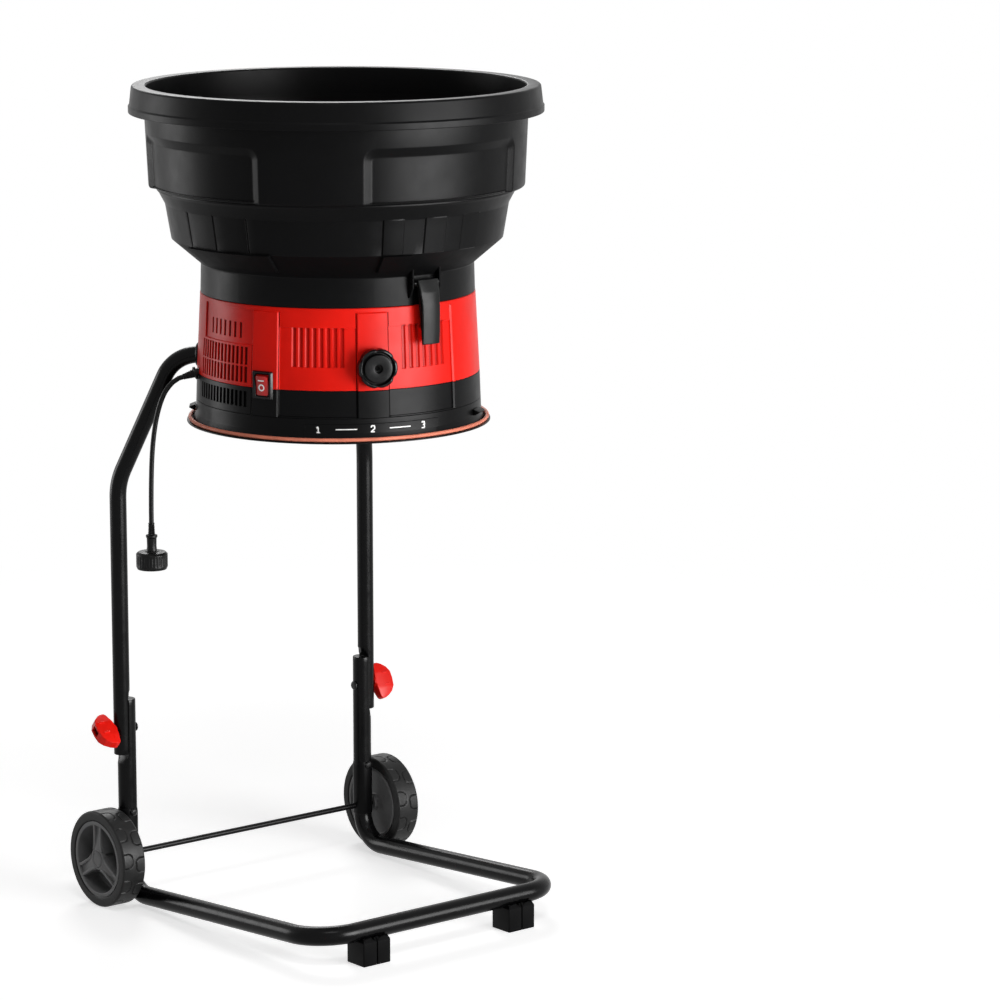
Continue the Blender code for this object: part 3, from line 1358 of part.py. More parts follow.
def make_pod():
    """A closed can with a collar at each end for a bearing, and a hole for the shaft."""
    bore = SHAFT_RADIUS + SHAFT_RUN_GAP
    collar = BEARING_RADIUS + SEAT_GAP
    collar_out = collar + BEARING_COLLAR_WALL
    floor_z = POD_FOOT_Z + POD_WALL
    roof_z = POD_TOP_Z - POD_WALL
    seat = BEARING_HEIGHT + 2 * SEAT_GAP
    inner = POD_RADIUS - POD_WALL
    boss_foot = POD_BOSS_RADIUS + POD_WALL
    points = [
        (bore, POD_TOP_Z + POD_BOSS_HEIGHT),
        (POD_BOSS_RADIUS, POD_TOP_Z + POD_BOSS_HEIGHT),
        (boss_foot, POD_TOP_Z),
        (POD_RADIUS - POD_EDGE, POD_TOP_Z),
        (POD_RADIUS, POD_TOP_Z - POD_EDGE),
        (POD_RADIUS, POD_FOOT_Z),
        (bore, POD_FOOT_Z),
        (bore, floor_z),
        (collar, floor_z),
        (collar, floor_z + seat),
        (collar_out, floor_z + seat),
        (collar_out, floor_z),
        (inner, floor_z),
        (inner, roof_z - POD_EDGE),
        (inner - POD_EDGE, roof_z),
        (collar_out, roof_z),
        (collar_out, roof_z - seat),
        (collar, roof_z - seat),
        (collar, roof_z),
        (bore, roof_z),
    ]
    turned("motor_pod", points, "motor_grey", MOTOR_STEPS)


def make_bearings():
    fit = SHAFT_RADIUS + SEAT_GAP
    low = POD_FOOT_Z + POD_WALL + SEAT_GAP
    high = POD_TOP_Z - POD_WALL - SEAT_GAP
    steps = MOTOR_STEPS
    ring("bearing_lower", fit, BEARING_RADIUS, low, low + BEARING_HEIGHT, "steel", steps)
    ring("bearing_upper", fit, BEARING_RADIUS, high - BEARING_HEIGHT, high, "steel", steps)


def make_fan(fit, foot_z):
    count = FAN_BLADES * 4
    blades = []
    for i in range(count):
        angle = 2 * math.pi * i / count
        radius = FAN_RADIUS if i % 4 < 2 else FAN_RADIUS * 0.45
        blades.append((radius * math.cos(angle), radius * math.sin(angle)))
    hole = circle_points(fit, 16)
    outline("cooling_fan", [blades, hole], foot_z, foot_z + FAN_HEIGHT, "housing_black")


def make_spider():
    inner = POD_RADIUS + SEAT_GAP
    outer = inner + SPIDER_RING_WALL
    foot = HOUSING_FOOT_Z - SPIDER_DROP
    top = foot + SPIDER_HEIGHT
    spider = ring("motor_spider", inner, outer, foot, top, "housing_black", MOTOR_STEPS)
    half = SPIDER_ARM_THICKNESS / 2
    reach = arm_reach(half)
    inset = SPIDER_ARM_INSET
    for azimuth in SPIDER_AZIMUTHS:
        arm = box(
            f"spider_arm_{azimuth:.0f}",
            (inner + SPIDER_RING_WALL / 2, -half, foot + inset),
            (reach, half, top - inset),
        )
        arm.rotation_euler.z = math.radians(azimuth)
        join(spider, arm)


def make_line_head(fit):
    points = [
        (HEAD_RADIUS - HEAD_EDGE, HEAD_TOP_Z),
        (HEAD_RADIUS, HEAD_TOP_Z - HEAD_EDGE),
        (HEAD_RADIUS, HEAD_FOOT_Z),
        (fit, HEAD_FOOT_Z),
        (fit, HEAD_TOP_Z),
    ]
    head = turned("line_head", points, "housing_black")
    reach = HOUSING_RADIUS - LINE_WALL_GAP
    for end, side in (("front", -1), ("rear", 1)):
        middle = (0, side * LINE_OFFSET_Y, LINE_Z)
        hole = cylinder(
            f"line_hole_{end}", LINE_RADIUS + SEAT_GAP, -HEAD_RADIUS * 2, HEAD_RADIUS * 2, steps=8
        )
        cut(head, place(hole, middle, (1, 0, 0)))
        line = cylinder(f"cutting_line_{end}", LINE_RADIUS, -reach, reach, "line_orange", steps=8)
        place(line, middle, (1, 0, 0))
    hexagon = circle_points(NUT_RADIUS, 6)
    hole = circle_points(fit, 16)
    outline("head_nut", [hexagon, hole], NUT_FOOT_Z, NUT_FOOT_Z + NUT_HEIGHT, "steel")


def main():
    make_materials()
    make_bowl()
    make_collar()
    for side, azimuth in LATCH_AZIMUTHS.items():
        make_latch(side, azimuth)
    make_housing()
    make_ring()
    make_knob()
    make_switch()
    make_gland()
    make_cord()
    make_motor()
    make_frame()
    make_axle()
    for hand, side in (("left", -1), ("right", 1)):
        make_upper_leg(hand, side)
        make_lap_joint(hand, side)
        make_bracket(hand, side)
        make_wheel(hand, side)
        make_foot(hand, side)


main()
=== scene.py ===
import math

import bpy
import numpy as np
from mathutils import Matrix, Vector


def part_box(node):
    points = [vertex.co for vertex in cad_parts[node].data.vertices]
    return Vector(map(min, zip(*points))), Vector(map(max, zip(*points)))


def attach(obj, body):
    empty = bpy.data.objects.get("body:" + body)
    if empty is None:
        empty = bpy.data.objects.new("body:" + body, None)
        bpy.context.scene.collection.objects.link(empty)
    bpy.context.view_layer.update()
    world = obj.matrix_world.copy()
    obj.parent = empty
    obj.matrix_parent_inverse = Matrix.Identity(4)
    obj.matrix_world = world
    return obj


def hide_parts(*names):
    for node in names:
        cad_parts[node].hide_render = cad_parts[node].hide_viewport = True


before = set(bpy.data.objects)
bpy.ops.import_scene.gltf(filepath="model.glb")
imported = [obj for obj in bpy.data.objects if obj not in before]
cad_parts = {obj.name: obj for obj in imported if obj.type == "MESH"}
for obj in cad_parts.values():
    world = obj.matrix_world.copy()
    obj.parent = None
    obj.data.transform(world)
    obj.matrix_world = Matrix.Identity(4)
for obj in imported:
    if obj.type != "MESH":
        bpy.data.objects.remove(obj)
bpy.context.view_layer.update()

# Lengths are in metres. Azimuths are in degrees round the upright axis from the front,
# which is -Y, and grow towards +X.
print("stage: camera")

cameraView = {
    "at": (-3.6135, -4.771, 1.770),
    "toward": (0.6233, 0.7589, -0.1886),
    "lens": 149.3,
    "sensor": 36.0,
}
camera = bpy.data.objects.new("camera", bpy.data.cameras.new("camera"))
camera.data.lens = cameraView["lens"]
camera.data.sensor_width = cameraView["sensor"]
camera.data.sensor_fit = "HORIZONTAL"
camera.data.clip_end = 60
camera.location = cameraView["at"]
camera.rotation_euler = Vector(cameraView["toward"]).to_track_quat("-Z", "Y").to_euler()
bpy.context.scene.collection.objects.link(camera)
bpy.context.scene.camera = camera


# shader maths

class Wire:
    # an output socket, so that sums of masks read as sums
    def __init__(self, graph, socket):
        self.graph = graph
        self.socket = socket

    def math(self, operation, first, second):
        return self.graph.node("Math", {"operation": operation}, {0: first, 1: second})

    def either(self, other):
        return self.math("MAXIMUM", self, other)

    def __add__(self, other):
        return self.math("ADD", self, other)

    def __radd__(self, other):
        return self.math("ADD", other, self)

    def __sub__(self, other):
        return self.math("SUBTRACT", self, other)

    def __rsub__(self, other):
        return self.math("SUBTRACT", other, self)

    def __mul__(self, other):
        return self.math("MULTIPLY", self, other)

    def __rmul__(self, other):
        return self.math("MULTIPLY", other, self)


class Graph:
    # the shader nodes of a material or of the world
    def __init__(self, owner):
        owner.use_nodes = True
        self.tree = owner.node_tree

    def node(self, kind, settings=None, sockets=None, output=0):
        made = self.tree.nodes.new("ShaderNode" + kind)
        for name, value in (settings or {}).items():
            setattr(made, name, value)
        for name, value in (sockets or {}).items():
            self.feed(made.inputs[name], value)
        return Wire(self, made.outputs[output])

    def feed(self, socket, value):
        if isinstance(value, Wire):
            self.tree.links.new(value.socket, socket)
        else:
            socket.default_value = value

    def seenPlain(self):
        # the rays of the camera, of reflections and of clear materials
        kinds = ("Is Camera Ray", "Is Glossy Ray", "Is Transmission Ray")
        return [self.node("LightPath", output=kind) for kind in kinds]


class Look(Graph):
    # one material, with its shader and the nodes behind it
    def __init__(self, name):
        self.material = bpy.data.materials.new(name)
        super().__init__(self.material)
        self.shader = self.tree.nodes["Principled BSDF"]

    def set(self, **values):
        for name, value in values.items():
            self.feed(self.shader.inputs[name.replace("_", " ")], value)

    def place(self):
        return self.node("TexCoord", output="Object")

    def noise(self, scale, detail=2.0, roughness=0.5, stretch=None):
        where = self.place()
        if stretch:
            where = self.node("VectorMath", {"operation": "MULTIPLY"}, {0: where, 1: stretch})
        sockets = {"Vector": where, "Scale": scale, "Detail": detail, "Roughness": roughness}
        return self.node("TexNoise", sockets=sockets)

    def spread(self, value, low, high):
        # carries a value from its range onto 0 to 1 and stops at both ends
        return self.node("MapRange", sockets={"Value": value, "From Min": low, "From Max": high})

    def blend(self, mask, first, second):
        sockets = {0: mask, 6: first, 7: second}
        return self.node("Mix", {"data_type": "RGBA"}, sockets, output=2)

    def bump(self, height, depth, strength, under=None):
        sockets = {"Height": height, "Distance": depth, "Strength": strength}
        if under is not None:
            sockets["Normal"] = under
        return self.node("Bump", sockets=sockets)

    def withPaintedShade(self, paint, colour, pit):
        # painted shade: the points' own shade value leads from the paint to a darker copy of it,
        # standing in for the shadow in grooves and hollows
        depth = self.node("Attribute", {"attribute_name": "hollow"}, output=2)
        return self.blend(depth, paint, shade(colour, pit))


def shade(colour, factor):
    return tuple(min(1.0, part * factor) for part in colour[:3]) + (1.0,)


def mouldedPlastic(name, colour, rough, shine, grain=0.00004, pit=0.0):
    # clouded colour, fine spark-eroded grain and slow changes of gloss
    look = Look(name)
    clouds = look.spread(look.noise(14.0, 3.0), 0.3, 0.7)
    paint = look.blend(clouds, shade(colour, 0.92), shade(colour, 1.10))
    specks = look.spread(look.noise(520.0, 2.0), 0.60, 0.78)
    paint = look.blend(specks * 0.2, paint, shade(colour, 1.6))
    # painted shade in grooves and hollows, from each point's shade value
    if pit:
        paint = look.withPaintedShade(paint, colour, pit)
    smudge = look.spread(look.noise(38.0, 4.0, 0.6), 0.35, 0.75)
    pebble = look.noise(760.0, 3.0, 0.6)
    waves = look.noise(55.0, 1.0)
    bump = look.bump(pebble, grain, 0.5, look.bump(waves, 0.0003, 0.10))
    look.set(Base_Color=paint, Roughness=smudge * 0.08 + (rough - 0.04), Normal=bump)
    look.set(Specular_IOR_Level=shine)
    return look.material


def paintedTube(name, colour, rough, shine):
    # powder coat: an orange-peel skin over steel tube, with a clear gloss
    look = Look(name)
    clouds = look.spread(look.noise(22.0, 2.0), 0.3, 0.7)
    paint = look.blend(clouds, shade(colour, 0.85), shade(colour, 1.2))
    peel = look.noise(420.0, 2.0, 0.55)
    dull = look.spread(look.noise(60.0, 3.0), 0.3, 0.8)
    look.set(Base_Color=paint, Roughness=dull * 0.10 + (rough - 0.05))
    look.set(Normal=look.bump(peel, 0.00006, 0.4), Specular_IOR_Level=shine)
    return look.material


def rubber(name, colour, rough, shine, grain=0.00012, pit=0.0):
    # clouded colour with a little dust in it, and a fine soft grain
    look = Look(name)
    clouds = look.spread(look.noise(30.0, 4.0, 0.6), 0.3, 0.7)
    paint = look.blend(clouds, shade(colour, 0.85), shade(colour, 1.2))
    dust = look.spread(look.noise(180.0, 3.0), 0.55, 0.80)
    paint = look.blend(dust * 0.3, paint, shade(colour, 2.0))
    # painted shade in grooves and hollows, from each point's shade value
    if pit:
        paint = look.withPaintedShade(paint, colour, pit)
    pebble = look.noise(900.0, 3.0, 0.7)
    worn = look.spread(look.noise(70.0, 2.0), 0.3, 0.7)
    look.set(Base_Color=paint, Roughness=worn * 0.12 + (rough - 0.06))
    look.set(Normal=look.bump(pebble, grain, 0.5), Specular_IOR_Level=shine)
    return look.material


def turnedMetal(name, colour, rough):
    # fine machining lines, faint tarnish
    look = Look(name)
    lines = look.noise(1.0, 2.0, 0.5, stretch=(40.0, 40.0, 2200.0))
    tarnish = look.spread(look.noise(90.0, 3.0), 0.4, 0.75)
    paint = look.blend(tarnish, shade(colour, 1.05), shade(colour, 0.72))
    look.set(Base_Color=paint, Metallic=1.0)
    look.set(Roughness=tarnish * 0.16 + lines * 0.12 + (rough - 0.08))
    look.set(Normal=look.bump(lines, 0.00003, 0.4))
    return look.material


def printedMark(name, colour, rough):
    # pad-printed ink, a little thin here and there
    look = Look(name)
    thin = look.spread(look.noise(900.0, 2.0), 0.45, 0.9)
    look.set(Base_Color=look.blend(thin * 0.4, colour, shade(colour, 0.80)))
    look.set(Roughness=look.noise(300.0) * 0.2 + rough)
    return look.material


# each finish: the function that makes it, its colour, its roughness and what else it takes,
# among it the factor for the painted shade in grooves and hollows
finishes = {
    "hopperBlack": (mouldedPlastic, (0.0032, 0.0032, 0.0034), 0.38, {"shine": 0.050, "pit": 0.16}),
    "housingBlack": (mouldedPlastic, (0.0030, 0.0030, 0.0032), 0.36, {"shine": 0.050, "pit": 0.16}),
    # painted light: the lever is the hopper's black plastic, given a lighter colour for the light
    # on its face
    "leverBlack": (mouldedPlastic, (0.0080, 0.0082, 0.0082), 0.34, {"shine": 0.075, "pit": 0.10}),
    "coneBlack": (mouldedPlastic, (0.0040, 0.0040, 0.0042), 0.50, {"shine": 0.018, "pit": 0.16}),
    "housingRed": (mouldedPlastic, (0.78, 0.0105, 0.0050), 0.38, {"shine": 0.075, "pit": 0.12}),
    "bandSalmon": (rubber, (0.78, 0.235, 0.150), 0.45, {"grain": 0.00006, "shine": 0.08}),
    "knobBlack": (mouldedPlastic, (0.0046, 0.0046, 0.0050), 0.19, {"shine": 0.15, "pit": 0.2}),
    "switchRed": (mouldedPlastic, (0.50, 0.006, 0.005), 0.16, {"shine": 0.35, "grain": 0.00001}),
    "tubeBlack": (paintedTube, (0.0022, 0.0022, 0.0024), 0.26, {"shine": 0.09}),
    "wingRed": (mouldedPlastic, (0.92, 0.012, 0.006), 0.30, {"shine": 0.12, "pit": 0.10}),
    "tyreBlack": (rubber, (0.0190, 0.0190, 0.0190), 0.42, {"shine": 0.10, "pit": 0.12}),
    "wheelGrey": (mouldedPlastic, (0.160, 0.160, 0.161), 0.40, {"shine": 0.14, "pit": 0.2}),
    "cordBlack": (rubber, (0.0060, 0.0060, 0.0060), 0.34, {"grain": 0.00005, "shine": 0.10}),
    "steel": (turnedMetal, (0.62, 0.62, 0.61), 0.30, {}),
    "boltBlack": (mouldedPlastic, (0.0060, 0.0060, 0.0065), 0.26, {"shine": 0.20}),
    "brass": (turnedMetal, (0.78, 0.58, 0.25), 0.28, {}),
    "motorGrey": (mouldedPlastic, (0.060, 0.060, 0.064), 0.45, {"shine": 0.2}),
    "lineOrange": (rubber, (0.95, 0.24, 0.02), 0.30, {"grain": 0.00003, "shine": 0.4}),
    "markWhite": (printedMark, (0.98, 0.98, 0.97, 1.0), 0.35, {}),
}
looks = {
    name: make(name, colour, rough, **more)
    for name, (make, colour, rough, more) in finishes.items()
}

# the finish of each material slot, unless a piece is given another
slotLooks = {
    "hopper_black": "hopperBlack", "housing_red": "housingRed", "housing_black": "housingBlack",
    "band_salmon": "bandSalmon", "knob_black": "knobBlack", "switch_red": "switchRed",
    "tube_black": "tubeBlack", "wing_red": "wingRed", "tyre_black": "tyreBlack",
    "wheel_grey": "wheelGrey", "cord_black": "cordBlack", "steel": "steel", "brass": "brass",
    "motor_grey": "motorGrey", "line_orange": "lineOrange",
}


# shapes

class Shape:
    # points, faces as index arrays, one for each count of corners, and a painted shade value from
    # 0 to 1 for each point, which darkens its colour where grooves and hollows lie in shade
    def __init__(self, points, faces, hollow=None):
        self.points = np.asarray(points, float)
        self.faces = faces
        self.hollow = np.zeros(len(self.points)) if hollow is None else hollow

    def moved(self, matrix):
        turn = np.array(matrix)
        return self.bent(lambda points: points @ turn[:3, :3].T + turn[:3, 3])

    def bent(self, change):
        return Shape(change(self.points), self.faces, self.hollow).outward()

    def __add__(self, other):
        shift = len(self.points)
        return Shape(
            np.concatenate([self.points, other.points]),
            self.faces + [face + shift for face in other.faces],
            np.concatenate([self.hollow, other.hollow]),
        )

    def outward(self):
        # the signed volume tells which way a closed shape faces
        volume = 0.0
        for face in self.faces:
            first = self.points[face[:, 0]]
            for k in range(1, face.shape[1] - 1):
                ahead = np.cross(self.points[face[:, k]], self.points[face[:, k + 1]])
                volume += float((first * ahead).sum())
        if volume < 0:
            self.faces = [face[:, ::-1] for face in self.faces]
        return self


def joined(shapes):
    first, *others = shapes
    for other in others:
        first = first + other
    return first


def gridFaces(across, along, roundAcross, roundAlong):
    u = np.arange(across if roundAcross else across - 1)[:, None]
    v = np.arange(along if roundAlong else along - 1)[None, :]
    nextU, nextV = (u + 1) % across, (v + 1) % along
    corners = [u * along + v, nextU * along + v, nextU * along + nextV, u * along + nextV]
    return np.stack(np.broadcast_arrays(*corners), -1).reshape(-1, 4)


def filleted(corners, radii, closed=False, stepAngle=11.0):
    # straight lines through the corners, each corner an arc that touches both its lines
    corners = np.asarray(corners, float)
    radii = np.broadcast_to(np.asarray(radii, float), len(corners))
    found = []
    for i, here in enumerate(corners):
        if radii[i] <= 0 or (not closed and i in (0, len(corners) - 1)):
            found.append(here[None])
            continue
        back = corners[i - 1] - here
        ahead = corners[(i + 1) % len(corners)] - here
        backLength, aheadLength = np.linalg.norm(back), np.linalg.norm(ahead)
        back, ahead = back / backLength, ahead / aheadLength
        half = 0.5 * math.acos(float(np.clip(back @ ahead, -1, 1)))
        if half > math.pi / 2 - 0.01:
            found.append(here[None])
            continue
        reach = min(radii[i] / math.tan(half), 0.49 * backLength, 0.49 * aheadLength)
        middle = here + (back + ahead) / np.linalg.norm(back + ahead) * reach / math.cos(half)
        turn = math.pi - 2 * half
        t = np.linspace(0, 1, max(2, math.ceil(math.degrees(turn) / stepAngle) + 1))[:, None]
        start, end = here + back * reach - middle, here + ahead * reach - middle
        arc = np.sin((1 - t) * turn) * start + np.sin(t * turn) * end
        found.append(middle + arc / math.sin(turn))
    return np.concatenate(found)


def rectangle(low, high, corner, stepAngle=11.0):
    (x0, y0), (x1, y1) = low, high
    return filleted([(x0, y0), (x1, y0), (x1, y1), (x0, y1)], corner, True, stepAngle)


def divided(profile, levels, least):
    # adds points at the given heights on the first stretch of a profile that goes up or
    # down by more than least
    i = int(np.argmax(np.abs(np.diff(profile[:, 1])) > least))
    start, end = profile[i], profile[i + 1]
    share = (np.asarray(levels) - start[1]) / (end[1] - start[1])
    share = np.unique(np.round(share[(share > 0.001) & (share < 0.999)], 6))[:, None]
    return np.concatenate([profile[: i + 1], start + share * (end - start), profile[i + 1 :]])


def revolved(profile, steps=96, azimuths=None, relief=None):
    # point = (r sin a, -r cos a, z): the profile gives r and z, and a relief moves r and gives
    # each point's painted shade
    profile = np.asarray(profile, float)
    if azimuths is None:
        azimuths = np.arange(steps) * 360.0 / steps
    a = np.radians(np.asarray(azimuths, float))[:, None] + 0 * profile[None, :, 0]
    r = profile[None, :, 0] + 0 * a
    z = profile[None, :, 1] + 0 * a
    hollow = 0 * a
    if relief:
        push, hollow = relief(np.degrees(a), r, z)
        r = r + push
    points = np.stack([r * np.sin(a), -r * np.cos(a), z], -1)
    if profile[0, 0] > 1e-9:
        faces = [gridFaces(*a.shape, True, True)]
        return Shape(points.reshape(-1, 3), faces, hollow.reshape(-1)).outward()
    wall = points[:, 1:-1]
    count, rows = wall.shape[:2]
    i = np.arange(count)
    j = (i + 1) % count
    first = np.stack([j * rows, i * rows, 0 * i + count * rows], -1)
    last = np.stack([i * rows + rows - 1, j * rows + rows - 1, 0 * i + count * rows + 1], -1)
    poles = [(0, 0, profile[0, 1]), (0, 0, profile[-1, 1])]
    faces = [gridFaces(count, rows, True, False), np.concatenate([first, last])]
    everyPaintedShade = np.concatenate([hollow[:, 1:-1].reshape(-1), [hollow[0, 0], hollow[0, -1]]])
    return Shape(np.concatenate([wall.reshape(-1, 3), poles]), faces, everyPaintedShade).outward()


def turned(corners, radii, steps, **more):
    # revolves a profile drawn with rounded corners: one that starts on the axis stays open
    return revolved(filleted(corners, radii, corners[0][0] > 0), steps, **more)


def inset(outline, amount):
    # moves every point of a closed outline in by the same distance from both its lines
    ahead = np.roll(outline, -1, 0) - outline
    ahead = ahead / np.maximum(np.linalg.norm(ahead, axis=1, keepdims=True), 1e-12)
    back = np.roll(ahead, 1, 0)
    x, y = outline.T
    side = math.copysign(1.0, (x * np.roll(y, -1) - y * np.roll(x, -1)).sum())
    inAhead = np.stack([-ahead[:, 1], ahead[:, 0]], -1) * side
    inBack = np.stack([-back[:, 1], back[:, 0]], -1) * side
    share = np.maximum(1 + (inAhead * inBack).sum(1, keepdims=True), 0.25)
    return outline + (inAhead + inBack) / share * amount


def layered(outlines, heights, loop=False):
    # outlines with as many points each, one at each height: round a loop the last meets
    # the first, and otherwise the first and the last are closed
    rings = [np.column_stack([line, np.full(len(line), z)]) for line, z in zip(outlines, heights)]
    points = np.stack(rings, 1)
    count, rows = points.shape[:2]
    faces = [gridFaces(count, rows, True, loop)]
    if not loop:
        i = np.arange(count)
        faces += [(i * rows)[None, ::-1], (i * rows + rows - 1)[None]]
    return Shape(points.reshape(-1, 3), faces).outward()


def slab(outline, levels):
    # an outline carried up through (height, inset) levels and closed at both ends
    outline = np.asarray(outline, float)
    heights, amounts = zip(*levels)
    return layered([inset(outline, amount) for amount in amounts], heights)


def roundedSlab(outline, low, high, edge):
    # a slab whose two end faces meet its sides in a quarter round
    t = np.linspace(0, math.pi / 2, 4)
    foot = [(low + edge * (1 - math.cos(x)), edge * (1 - math.sin(x))) for x in t]
    head = [(high - (z - low), amount) for z, amount in foot[::-1]]
    return slab(outline, foot + head)


def swept(path, section, lean=(0.58, 0.57, 0.58), press=None):
    # a section carried along a path: point = path + x * side + y * up
    path = np.asarray(path, float)
    tangent = np.gradient(path, axis=0)
    tangent = tangent / np.linalg.norm(tangent, axis=1, keepdims=True)
    side = np.cross(tangent, np.asarray(lean, float))
    side = side / np.linalg.norm(side, axis=1, keepdims=True)
    up = np.cross(side, tangent)
    section = np.broadcast_to(section, (len(path),) + np.shape(section)[-2:])
    points = path[:, None] + section[..., :1] * side[:, None] + section[..., 1:] * up[:, None]
    if press:
        points = press(points)
    rows, count = points.shape[:2]
    i = np.arange(count)
    ends = [i[None, ::-1] + (rows - 1) * count, i[None]]
    return Shape(points.reshape(-1, 3), [gridFaces(rows, count, False, True), *ends]).outward()


def circle(radius, count):
    a = np.arange(count) * 2 * math.pi / count
    return np.stack([radius * np.cos(a), radius * np.sin(a)], -1)


def along(path, spacing):
    # points about spacing apart on the straight stretches of a path
    path = np.asarray(path, float)
    found = []
    for start, end in zip(path[:-1], path[1:]):
        count = max(1, math.ceil(np.linalg.norm(end - start) / spacing))
        found.append(start + (end - start) * (np.arange(count) / count)[:, None])
    return np.concatenate(found + [path[-1:]])


def tube(path, radius, edge, sides, press=None):
    # a round tube whose ends are closed, with a small round at the mouth
    path = np.asarray(path, float)
    first, last = path[1] - path[0], path[-1] - path[-2]
    first, last = first / np.linalg.norm(first), last / np.linalg.norm(last)
    steps = edge * np.array([0.0, 0.12, 0.45, 1.0])
    mouth, end = path[0] + steps[:, None] * first, path[-1] - steps[::-1, None] * last
    path = np.concatenate([mouth, path[1:-1], end])
    shrink = edge * np.array([1.0, 0.55, 0.16, 0.0])
    radii = np.full(len(path), radius)
    radii[:4] -= shrink
    radii[-4:] -= shrink[::-1]
    return swept(path, circle(1.0, sides)[None] * radii[:, None, None], press=press)


def roundedBox(low, high, edge, corner):
    # a rectangle with rounded corners, carried up Z, its end edges rounded too
    return roundedSlab(rectangle(low[:2], high[:2], corner), low[2], high[2], edge)


def radial(azimuth):
    a = math.radians(azimuth)
    return Vector((math.sin(a), -math.cos(a), 0.0))


def spot(azimuth, radius, z):
    return radial(azimuth) * radius + Vector((0, 0, z))


def onAxis(azimuth, z):
    # from the axis at height z: local X along the wall, local Y up, local Z outwards
    out = radial(azimuth)
    up = Vector((0, 0, 1))
    turn = Matrix((up.cross(out), up, out)).transposed().to_4x4()
    return Matrix.Translation(up * z) @ turn


def facing(place, direction):
    # local Z along a direction, local Y as near as it can be to upright
    out = Vector(direction).normalized()
    side = Vector((0, 0, 1)).cross(out).normalized()
    turn = Matrix((side, out.cross(side), out)).transposed().to_4x4()
    return Matrix.Translation(Vector(place)) @ turn


def standing(azimuth):
    # an outline drawn as (radius, height) stands on the radial plane, local Z across it
    out = radial(azimuth)
    up = Vector((0, 0, 1))
    return Matrix((out, up, out.cross(up))).transposed().to_4x4()


def polar(points):
    # the azimuth in radians and the radius of each point
    return np.arctan2(points[:, 0], -points[:, 1]), np.hypot(points[:, 0], points[:, 1])


def wrapped(shape, azimuth, radiusAt):
    # bends a flat shape round the housing: x becomes arc, y height and z reach
    def bend(points):
        radius = radiusAt(points[:, 1])
        a = math.radians(azimuth) + points[:, 0] / radius
        reach = radius + points[:, 2]
        return np.stack([reach * np.sin(a), -reach * np.cos(a), points[:, 1]], -1)

    return shape.bent(bend)


def makePiece(name, shape, body, slot, *replaces, look=None, sharp=34.0, second=None):
    mesh = bpy.data.meshes.new(name)
    faces = [row for face in shape.faces for row in face.tolist()]
    mesh.from_pydata(shape.points.tolist(), [], faces)
    # each point's painted shade, which the finishes read to darken grooves and hollows
    hollow = mesh.attributes.new("hollow", "FLOAT", "POINT")
    hollow.data.foreach_set("value", shape.hollow.astype(np.float32))
    mesh.update()
    mesh.shade_smooth()
    mesh.set_sharp_from_angle(angle=math.radians(sharp))
    mesh.materials.append(looks[look or slotLooks[slot]])
    if second:
        # a second finish on the faces that its test picks by their middles
        mesh.materials.append(looks[second[0]])
        middles = np.concatenate([shape.points[face].mean(1) for face in shape.faces])
        mesh.polygons.foreach_set("material_index", second[1](middles).astype(np.int32))
    piece = bpy.data.objects.new(name, mesh)
    bpy.context.scene.collection.objects.link(piece)
    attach(piece, body)
    if replaces:
        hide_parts(*replaces)
    return piece


# cord
print("stage: cord")

cordLook = {
    "azimuth": -117.1,
    "radius": 0.0036,
    "route": [
        (0.22840, 0.81250), (0.23500, 0.81060), (0.2440, 0.8047), (0.2538, 0.7930),
        (0.2598, 0.7810), (0.2646, 0.7670), (0.2686, 0.7510), (0.2716, 0.7340),
        (0.2740, 0.7150), (0.2757, 0.6940), (0.2768, 0.6710), (0.2775, 0.6470),
        (0.2779, 0.6230), (0.2780, 0.5993),
    ],
}


def smoothRoute(points, spacing):
    # Catmull-Rom through the points: a cubic in t whose slope at a point is half the
    # step between its two neighbours
    points = np.asarray(points, float)
    padded = np.concatenate([[2 * points[0] - points[1]], points, [2 * points[-1] - points[-2]]])
    found = []
    for a, b, c, d in zip(padded, padded[1:], padded[2:], padded[3:]):
        count = max(1, round(float(np.linalg.norm(c - b)) / spacing))
        t = (np.arange(count) / count)[:, None]
        square, cube = 2 * a - 5 * b + 4 * c - d, 3 * b - a - 3 * c + d
        found.append(0.5 * (2 * b + (c - a) * t + square * t**2 + cube * t**3))
    return np.concatenate(found + [points[-1:]])


def makeCord():
    out = np.array(radial(cordLook["azimuth"]))
    flat = smoothRoute(cordLook["route"], 0.0075)
    points = flat[:, :1] * out + flat[:, 1:] * np.array([0, 0, 1.0])
    data = bpy.data.curves.new("mainsCord", "CURVE")
    data.dimensions = "3D"
    data.bevel_depth = cordLook["radius"]
    data.bevel_resolution = 5
    data.use_fill_caps = True
    spline = data.splines.new("POLY")
    spline.points.add(len(points) - 1)
    spline.points.foreach_set("co", np.column_stack([points, np.ones(len(points))]).ravel())
    data.materials.append(looks["cordBlack"])
    cord = bpy.data.objects.new("mainsCord", data)
    bpy.context.scene.collection.objects.link(cord)
    length = float(np.linalg.norm(np.diff(points, axis=0), axis=1).sum())
    return cord, points, length


cord, cordPoints, cordLength = makeCord()
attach(cord, "machine")
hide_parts("power_cord")
print("cord length", round(cordLength, 4))


# plug
plugLook = {
    "top": 0.5990,
    "ribs": 7,
    "ribDepth": 0.0008,
    "capRadius": 0.0230,
    "capTop": 0.5580,
    "capFoot": 0.5310,
    "face": 0.5460,
}
atPlug = Matrix.Translation(radial(cordLook["azimuth"]) * cordLook["route"][-1][0])


